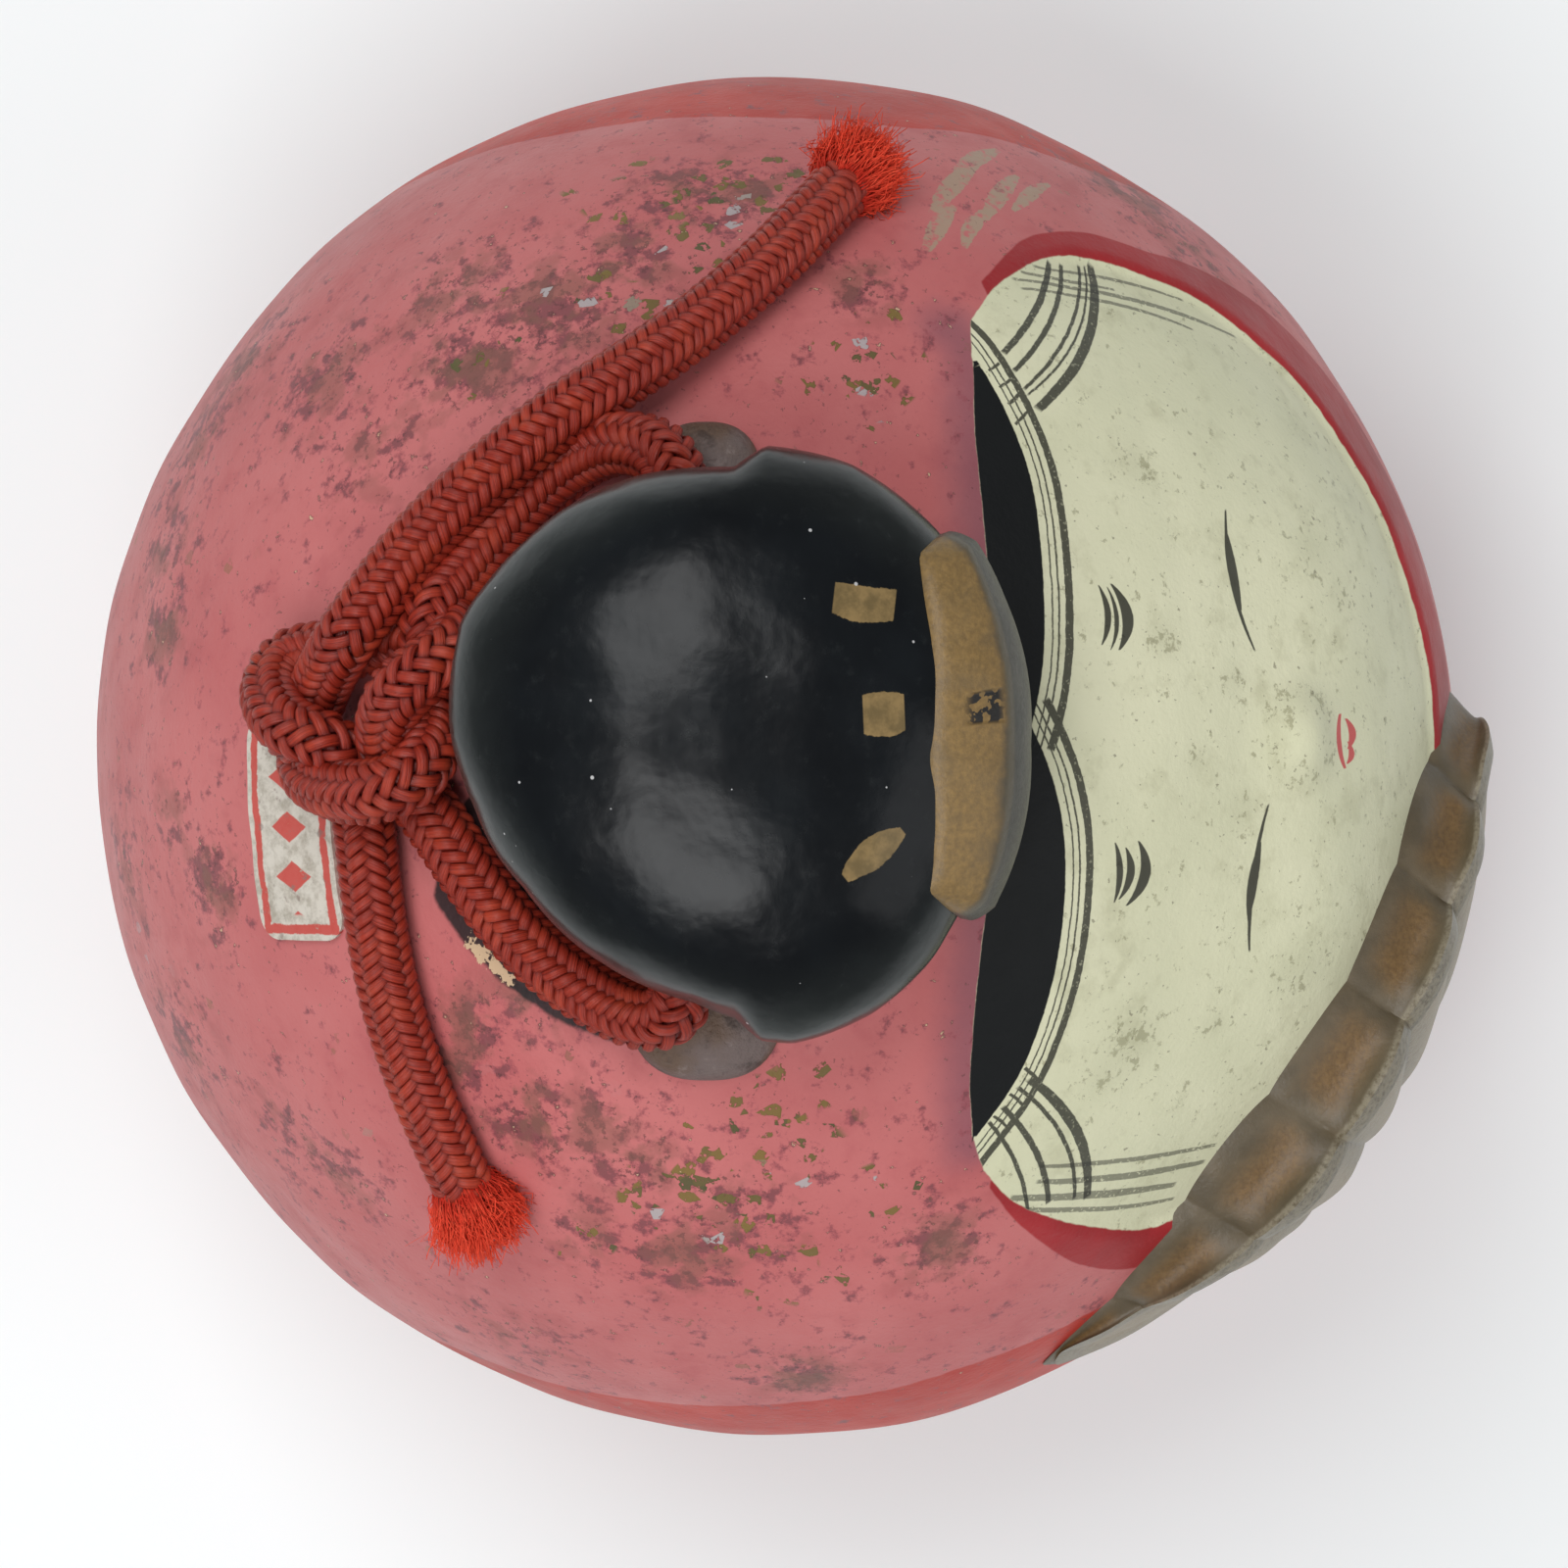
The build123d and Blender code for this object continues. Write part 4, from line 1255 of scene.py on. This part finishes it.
def comb_material():
    m = Finish("rubbed_gold_paint", roughness=0.45, specular=0.5)
    across, lengthwise, _ = m.split(m.value("facet", vector=True))
    grain = m.noise(0.35, detail=5, rough=0.7)
    patch = m.noise(2.2, detail=3)
    gold = m.mix(m.mask(grain, 0.25, 0.8), srgb(108, 86, 50), srgb(140, 112, 64))
    gold = m.mix(m.both(m.mask(patch, 0.45, 0.75), 0.5), gold, srgb(100, 84, 58))
    # The steep facet past the ridge is painted dark taupe: painted shade on the side turned from the light
    taupe = m.mix(m.mask(patch, 0.35, 0.7), srgb(54, 51, 41), srgb(66, 62, 51))
    worn = m.add(across, m.scaled(patch, 0.10, -0.05))
    colour = m.mix(m.mask(worn, COMB_RIDGE - 0.06, COMB_RIDGE + 0.03), gold, taupe)
    ridge = m.mask(m.distance(across, COMB_RIDGE + 0.03), 0.05, 0.015)
    colour = m.mix(m.both(ridge, 0.4), colour, srgb(108, 97, 73))
    near = m.distance(lengthwise, 0.05)
    chip = m.both(m.mask(near, 0.048, 0.036), m.mask(across, 0.12, 0.18), m.mask(across, 0.36, 0.30))
    colour = m.mix(m.both(chip, m.mask(m.noise(0.55, detail=2), 0.46, 0.49)), colour, srgb(26, 24, 22))
    height = m.scaled(grain, 0.4, m.times(chip, -1.0))
    return m.finish(colour, roughness=m.scaled(grain, 0.3, 0.3), height=height, depth=0.12)


def add_comb():
    """The crest of the comb: two facets that meet in a ridge, wrapped on the front of the topknot."""
    s = np.linspace(0, 1, 90)
    azimuth = COMB_FROM + (COMB_TO - COMB_FROM) * s
    reach = bun_radius(azimuth)
    inner_edge = BUN_AT[1] - COMB_INNER_Y + 0.5 * np.sin(3.3 * pi * s) * 0.4
    chord = inner_edge / np.abs(np.sin(np.radians(azimuth)))
    inner = np.degrees(np.arcsin(np.minimum(chord / reach, 0.97)))
    v = np.linspace(0, 1, 34)
    polar = inner[None, :] + (104 - inner)[None, :] * v[:, None]
    skin = bun_point(azimuth[None, :], polar)
    out = skin - (*BUN_AT, BUN_WIDE_Z - 6)
    out /= np.linalg.norm(out, axis=2)[:, :, None]
    past_ridge = 1.5 + 0.25 * (v - COMB_RIDGE) / (1 - COMB_RIDGE)
    rise = np.where(v < COMB_RIDGE, 0.35 + 1.15 * v / COMB_RIDGE, past_ridge)
    rise *= np.minimum(1, (v / 0.05)) ** 0.5 * np.minimum(1, (1 - v) / 0.06) ** 0.5
    ends = np.minimum(1, np.minimum(s, 1 - s) / 0.07) ** 0.5
    top = skin + out * (rise[:, None] * ends[None, :])[:, :, None]
    low = skin - out * 0.5
    points = np.vstack([top.reshape(-1, 3), low.reshape(-1, 3)])
    points += 0.06 * wave_noise(points, 3.5, 31)[:, None] * np.array((0, 0, 1))
    piece = make_piece("comb_crest", points, sheet_faces(len(v), len(s)), comb_material())
    face_outward(piece)
    facet = np.stack(np.broadcast_arrays(v[:, None], s[None, :] - 0.5, 0), 2).reshape(-1, 3)
    set_values(piece, "facet", np.vstack([facet, facet]))
    mark_sharp(piece, 50)
    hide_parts("comb")


def bar_material():
    m = Finish("worn_hair_bar", roughness=0.6, specular=0.35)
    patch = m.noise(1.6, detail=5, rough=0.7)
    side = m.noise(4.5, detail=2)
    colour = m.mix(m.mask(side, 0.4, 0.6), srgb(112, 98, 94), srgb(104, 84, 70))
    colour = m.mix(m.both(m.mask(patch, 0.5, 0.7), 0.7), colour, srgb(58, 48, 44))
    colour = m.mix(m.both(m.mask(patch, 0.42, 0.3), 0.6), colour, srgb(140, 126, 122))
    height = m.add(patch, m.noise(0.4, detail=4))
    return m.finish(colour, height=height, depth=0.14)


def add_hair_bar(node, seed, material):
    """One flared end of the hair bar: a low rounded lump that rests on the head."""
    low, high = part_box(node)
    low, high = np.array(low) / MM - (0, AXIS_Y, 0), np.array(high) / MM - (0, AXIS_Y, 0)
    left = low[0] > 0
    middle = np.array((low[0] + 1.2 if left else high[0] - 1.2, (low[1] + high[1]) / 2, 0))
    half_y = (high[1] - low[1]) / 2
    half_x = (high[0] - middle[0]) if left else (middle[0] - low[0])
    turn = np.linspace(0, 2 * pi, 64, endpoint=False)
    v = np.linspace(0.02, 1, 26)
    r = np.sin(v * pi / 2)[:, None]
    boxy = (np.abs(np.cos(turn)) ** 2.6 + np.abs(np.sin(turn)) ** 2.6) ** (-1 / 2.6)
    x = middle[0] + half_x * r * (np.cos(turn) * boxy)[None, :]
    y = middle[1] + half_y * r * (np.sin(turn) * boxy)[None, :]
    floor = dome_height(x, y) - 0.5
    z = floor + (high[2] + 0.2 - floor) * np.cos(v * pi / 2)[:, None] ** 0.55
    upper = np.stack([x, y, z], 2)
    under = upper.copy()
    under[:, :, 2] = floor - 0.05
    points = np.vstack([upper.reshape(-1, 3), under[::-1][1:].reshape(-1, 3)])
    points[:, 2] += 0.14 * wave_noise(points, 3.0, seed)
    rows = 2 * len(v) - 1
    faces = grid_faces(rows, len(turn), wrap_columns=True).tolist()
    faces.append(list(range(len(turn))))
    faces.append([(rows - 1) * len(turn) + c for c in range(len(turn))])
    piece = make_piece(node + "_end", points, faces, material)
    face_outward(piece)
    mark_sharp(piece, 60)
    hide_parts(node)


# ---------------------------------------------------------------- fan

FAN_TURN = radians(-32.5)
FAN_PIVOT_Z, FAN_R, FAN_FROM, FAN_TO = 31.0, 31.5, -50.0, 61.0
FAN_FACE_R, FAN_RELIEF = 75.0, 1.8
FAN_FOLDS, FAN_SCALLOP_R, FAN_HEEL = 7, 4.5, 3.2


def fan_material():
    m = Finish("tarnished_gold_fan", roughness=0.42, specular=0.5)
    ledge, fold, down = m.split(m.value("leaf", vector=True))
    grain = m.noise(0.35, detail=5, rough=0.7)
    patch = m.noise(2.4, detail=3)
    taupe = m.mix(m.mask(patch, 0.3, 0.7), srgb(82, 72, 54), srgb(98, 86, 66))
    gold = m.mix(m.mask(grain, 0.3, 0.7), srgb(94, 68, 34), srgb(122, 92, 50))
    cup_along = m.mask(m.scaled(patch, 0.5, fold), 0.45, 1.15)
    cup_across = m.both(m.mask(ledge, 0.02, 0.35), m.mask(ledge, 0.90, 0.55))
    cup = m.both(cup_along, cup_across, m.mask(down, 0.5, 0.0))
    colour = m.mix(m.both(cup, m.scaled(patch, 0.6, 0.45)), taupe, gold)
    # Painted highlight on the pleats' crests and painted shade in the valleys between them, on the face that
    # falls from the leaf to the heel
    crest = m.both(m.mask(fold, 0.55, 0.95), m.mask(down, 0.5, 1.0), 0.5)
    leaf = m.mix(m.mask(grain, 0.25, 0.8), srgb(104, 84, 50), srgb(130, 106, 62))
    colour = m.mix(m.both(m.mask(down, 0.3, 1.0), 0.65), colour, leaf)
    colour = m.mix(crest, colour, srgb(134, 108, 66))
    valley_shade = m.both(m.mask(fold, 0.30, 0.0), m.mask(down, 0.0, 1.0), 0.55)
    colour = m.mix(valley_shade, colour, srgb(62, 54, 40))
    # A painted highlight line along the rim of the leaf
    rim = m.both(m.mask(m.distance(ledge, 0.97), 0.10, 0.03), 0.6)
    colour = m.mix(m.both(rim, m.mask(grain, 0.3, 0.6)), colour, srgb(150, 142, 122))
    rough = m.scaled(grain, 0.25, 0.30)
    return m.finish(colour, roughness=rough, height=m.scaled(grain, 0.4, patch), depth=0.10)


def add_fan():
    """The open fan: pleats that bulge outwards, each with a rounded end whose top is a shallow cup."""
    per_fold = 36
    columns = FAN_FOLDS * per_fold + 1
    share = np.linspace(0, FAN_FOLDS, columns)
    fold = np.sin(pi * (share % 1)) ** 0.8
    tilt = np.radians(FAN_FROM + (FAN_TO - FAN_FROM) * share / FAN_FOLDS)
    off = np.radians((FAN_TO - FAN_FROM) / FAN_FOLDS) * ((share % 1) - 0.5)
    reach = FAN_R - FAN_SCALLOP_R
    bow = np.sqrt(np.maximum(FAN_SCALLOP_R**2 - (reach * np.sin(off)) ** 2, 0))
    scallop = reach * np.cos(off) + bow - FAN_R
    wedge = smooth_step(np.clip((share + 0.15) / 2.6, 0, 1))

    def on_fan(rho, out):
        """Points at a distance from the pivot, out millimetres in front of the body (0) to the leaf (1)."""
        a, z = rho * np.sin(tilt), FAN_PIVOT_Z + rho * np.cos(tilt)
        below = np.sqrt(np.maximum(UNDER_R**2 - (z - WIDEST_Z) ** 2, 0)) + BODY_R - UNDER_R
        above = np.sqrt(np.maximum(BODY_R**2 - (z - WIDEST_Z) ** 2, 0))
        body_r = np.where(z > WIDEST_Z, above, below)
        leaf_r = BODY_R + FAN_RELIEF - FAN_FACE_R + np.sqrt(FAN_FACE_R**2 - (z - WIDEST_Z) ** 2)
        bulge = (0.7 * fold - 0.35) * np.clip(rho / reach, 0, 1)
        r = body_r + np.maximum((leaf_r + bulge - body_r) * wedge, 0.3) * out
        ahead = np.sqrt(np.maximum(r**2 - a**2, 0))
        x = ahead * sin(FAN_TURN) + a * cos(FAN_TURN)
        y = -ahead * cos(FAN_TURN) + a * sin(FAN_TURN)
        return np.stack([x, y, z], 1)

    rows, leaf = [], []
    for out in (-0.25, 0.0, 0.1, 0.2, 0.32, 0.44, 0.56, 0.68, 0.8, 0.9, 0.96, 1.0):
        cup = 0.95 * fold**1.5 * wedge * max(0.0, sin(pi * min(max(out, 0) / 0.92, 1)))
        edge = FAN_R - 0.45 + scallop * (0.25 + 0.4 * max(out, 0))
        rows.append(on_fan(edge - cup + 0.3 * max(out - 0.85, 0) / 0.15, out))
        leaf.append(np.stack([np.full(columns, max(out, 0)), fold, np.zeros(columns)], 1))
    edge = FAN_R - 0.45 + scallop * 0.65
    down = np.linspace(0, 1, 60)[1:]
    for d in down:
        lip = 0.16 * np.exp(-((d - 0.03) / 0.02) ** 2)
        rows.append(on_fan(edge * (1 - d) + FAN_HEEL * d, 1.0 + lip * 0.6))
        leaf.append(np.stack([np.ones(columns), fold, np.full(columns, min(1, d * 12))], 1))
    rows.append(on_fan(np.full(columns, FAN_HEEL), 0.4))
    rows.append(on_fan(np.full(columns, FAN_HEEL), -0.25))
    leaf += [leaf[-1], leaf[-1]]
    points = np.array(rows).reshape(-1, 3)
    points += 0.10 * wave_noise(points, 5, 41)[:, None] * np.array((sin(FAN_TURN), -cos(FAN_TURN), 0))
    count = len(rows)
    faces = grid_faces(count, columns, wrap_rows=True).tolist()
    faces.append([r * columns for r in range(count)])
    faces.append([r * columns + columns - 1 for r in range(count)][::-1])
    piece = make_piece("fan_leaf", points, faces, fan_material())
    face_outward(piece)
    set_values(piece, "leaf", np.array(leaf).reshape(-1, 3))
    mark_sharp(piece, 60)
    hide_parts("fan")


# ---------------------------------------------------------------- label

LABEL_T, LABEL_W, LABEL_H = 0.3, 13.4, 6.8
LABEL_X, LABEL_TILT, LABEL_CORNER = -4.4, radians(40.6), 1.5


def label_material():
    """Worn paper with a red edge and a plain row of diamonds between two lines."""
    m = Finish("label_paper", roughness=0.7, specular=0.25)
    x, y, _ = m.split(m.value("label", vector=True))
    wear = m.noise(1.0, detail=5, rough=0.7)
    shake = m.scaled(wear, 0.5, -0.25)
    ax = m.add(m.math("ABSOLUTE", x), shake)
    ay = m.add(m.math("ABSOLUTE", y), shake)
    half_w, half_h = LABEL_W / 2, LABEL_H / 2
    frame_line = m.either(
        m.both(m.mask(ax, half_w - 1.0, half_w - 0.9), m.mask(ax, half_w - 0.35, half_w - 0.45)),
        m.both(m.mask(ay, half_h - 1.0, half_h - 0.9), m.mask(ay, half_h - 0.35, half_h - 0.45)),
    )
    inside = m.both(m.mask(ax, half_w - 0.3, half_w - 0.4), m.mask(ay, half_h - 0.3, half_h - 0.4))
    step = m.math("SUBTRACT", m.math("FRACT", m.scaled(x, 0.34, 0.5)), 0.5)
    spread = m.add(m.times(m.math("ABSOLUTE", step), 2.9), m.times(ay, 0.62))
    diamond = m.both(m.mask(spread, 0.95, 0.85), m.mask(ax, half_w - 1.4, half_w - 1.6))
    red = m.both(m.either(frame_line, diamond), inside, m.mask(wear, 0.72, 0.6))
    paper = m.mix(m.mask(wear, 0.4, 0.7), srgb(206, 200, 188), srgb(166, 158, 144))
    colour = m.mix(m.both(red, 0.92), paper, srgb(192, 66, 58))
    stain = m.both(m.mask(m.noise(0.9, detail=4), 0.6, 0.72), 0.7)
    colour = m.mix(stain, colour, srgb(130, 112, 104))
    return m.finish(colour, height=wear, depth=0.1)


def add_label():
    """A thin patch with round corners, bent to the back of the dome."""
    across, down = np.meshgrid(np.linspace(-1, 1, 54), np.linspace(-1, 1, 30))
    flat_x, flat_y = across * LABEL_W / 2, down * LABEL_H / 2
    pull_x = np.maximum(np.abs(flat_x) - (LABEL_W / 2 - LABEL_CORNER), 0)
    pull_y = np.maximum(np.abs(flat_y) - (LABEL_H / 2 - LABEL_CORNER), 0)
    reach = np.hypot(pull_x, pull_y)
    most = np.maximum(pull_x, pull_y)
    keep = np.where(reach > 1e-9, most / np.maximum(reach, 1e-9), 1)
    x = np.sign(flat_x) * (np.minimum(np.abs(flat_x), LABEL_W / 2 - LABEL_CORNER) + pull_x * keep)
    y = np.sign(flat_y) * (np.minimum(np.abs(flat_y), LABEL_H / 2 - LABEL_CORNER) + pull_y * keep)
    out = np.array((0, sin(LABEL_TILT), cos(LABEL_TILT)))
    up = np.array((0, -cos(LABEL_TILT), sin(LABEL_TILT)))
    flat = LABEL_X * np.array((1, 0, 0)) + x[..., None] * np.array((-1, 0, 0)) + y[..., None] * up
    depth = np.sqrt(BODY_R**2 - (flat**2).sum(axis=2))
    way = (flat + depth[..., None] * out) / BODY_R
    crumple = 0.06 * wave_noise(way.reshape(-1, 3) * BODY_R, 3.0, 51).reshape(x.shape)
    top = way * (BODY_R + LABEL_T + crumple)[..., None] + (0, 0, WIDEST_Z)
    low = way * (BODY_R - 0.45) + (0, 0, WIDEST_Z)
    points = np.vstack([top.reshape(-1, 3), low.reshape(-1, 3)])
    piece = make_piece("back_patch", points, sheet_faces(*x.shape), label_material())
    face_outward(piece)
    set_values(piece, "label", np.tile(np.stack([x, y, 0 * x], 2).reshape(-1, 3), (2, 1)))
    mark_sharp(piece, 45)
    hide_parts("back_label")


# ---------------------------------------------------------------- the doll

add_camera()
add_cords()
add_studio()
add_body()
add_topknot(bpy.data.node_groups["brush_stroke"])
add_comb()
worn = bar_material()
add_hair_bar("hair_bar_left", 61, worn)
add_hair_bar("hair_bar_right", 62, worn)
add_fan()
add_label()
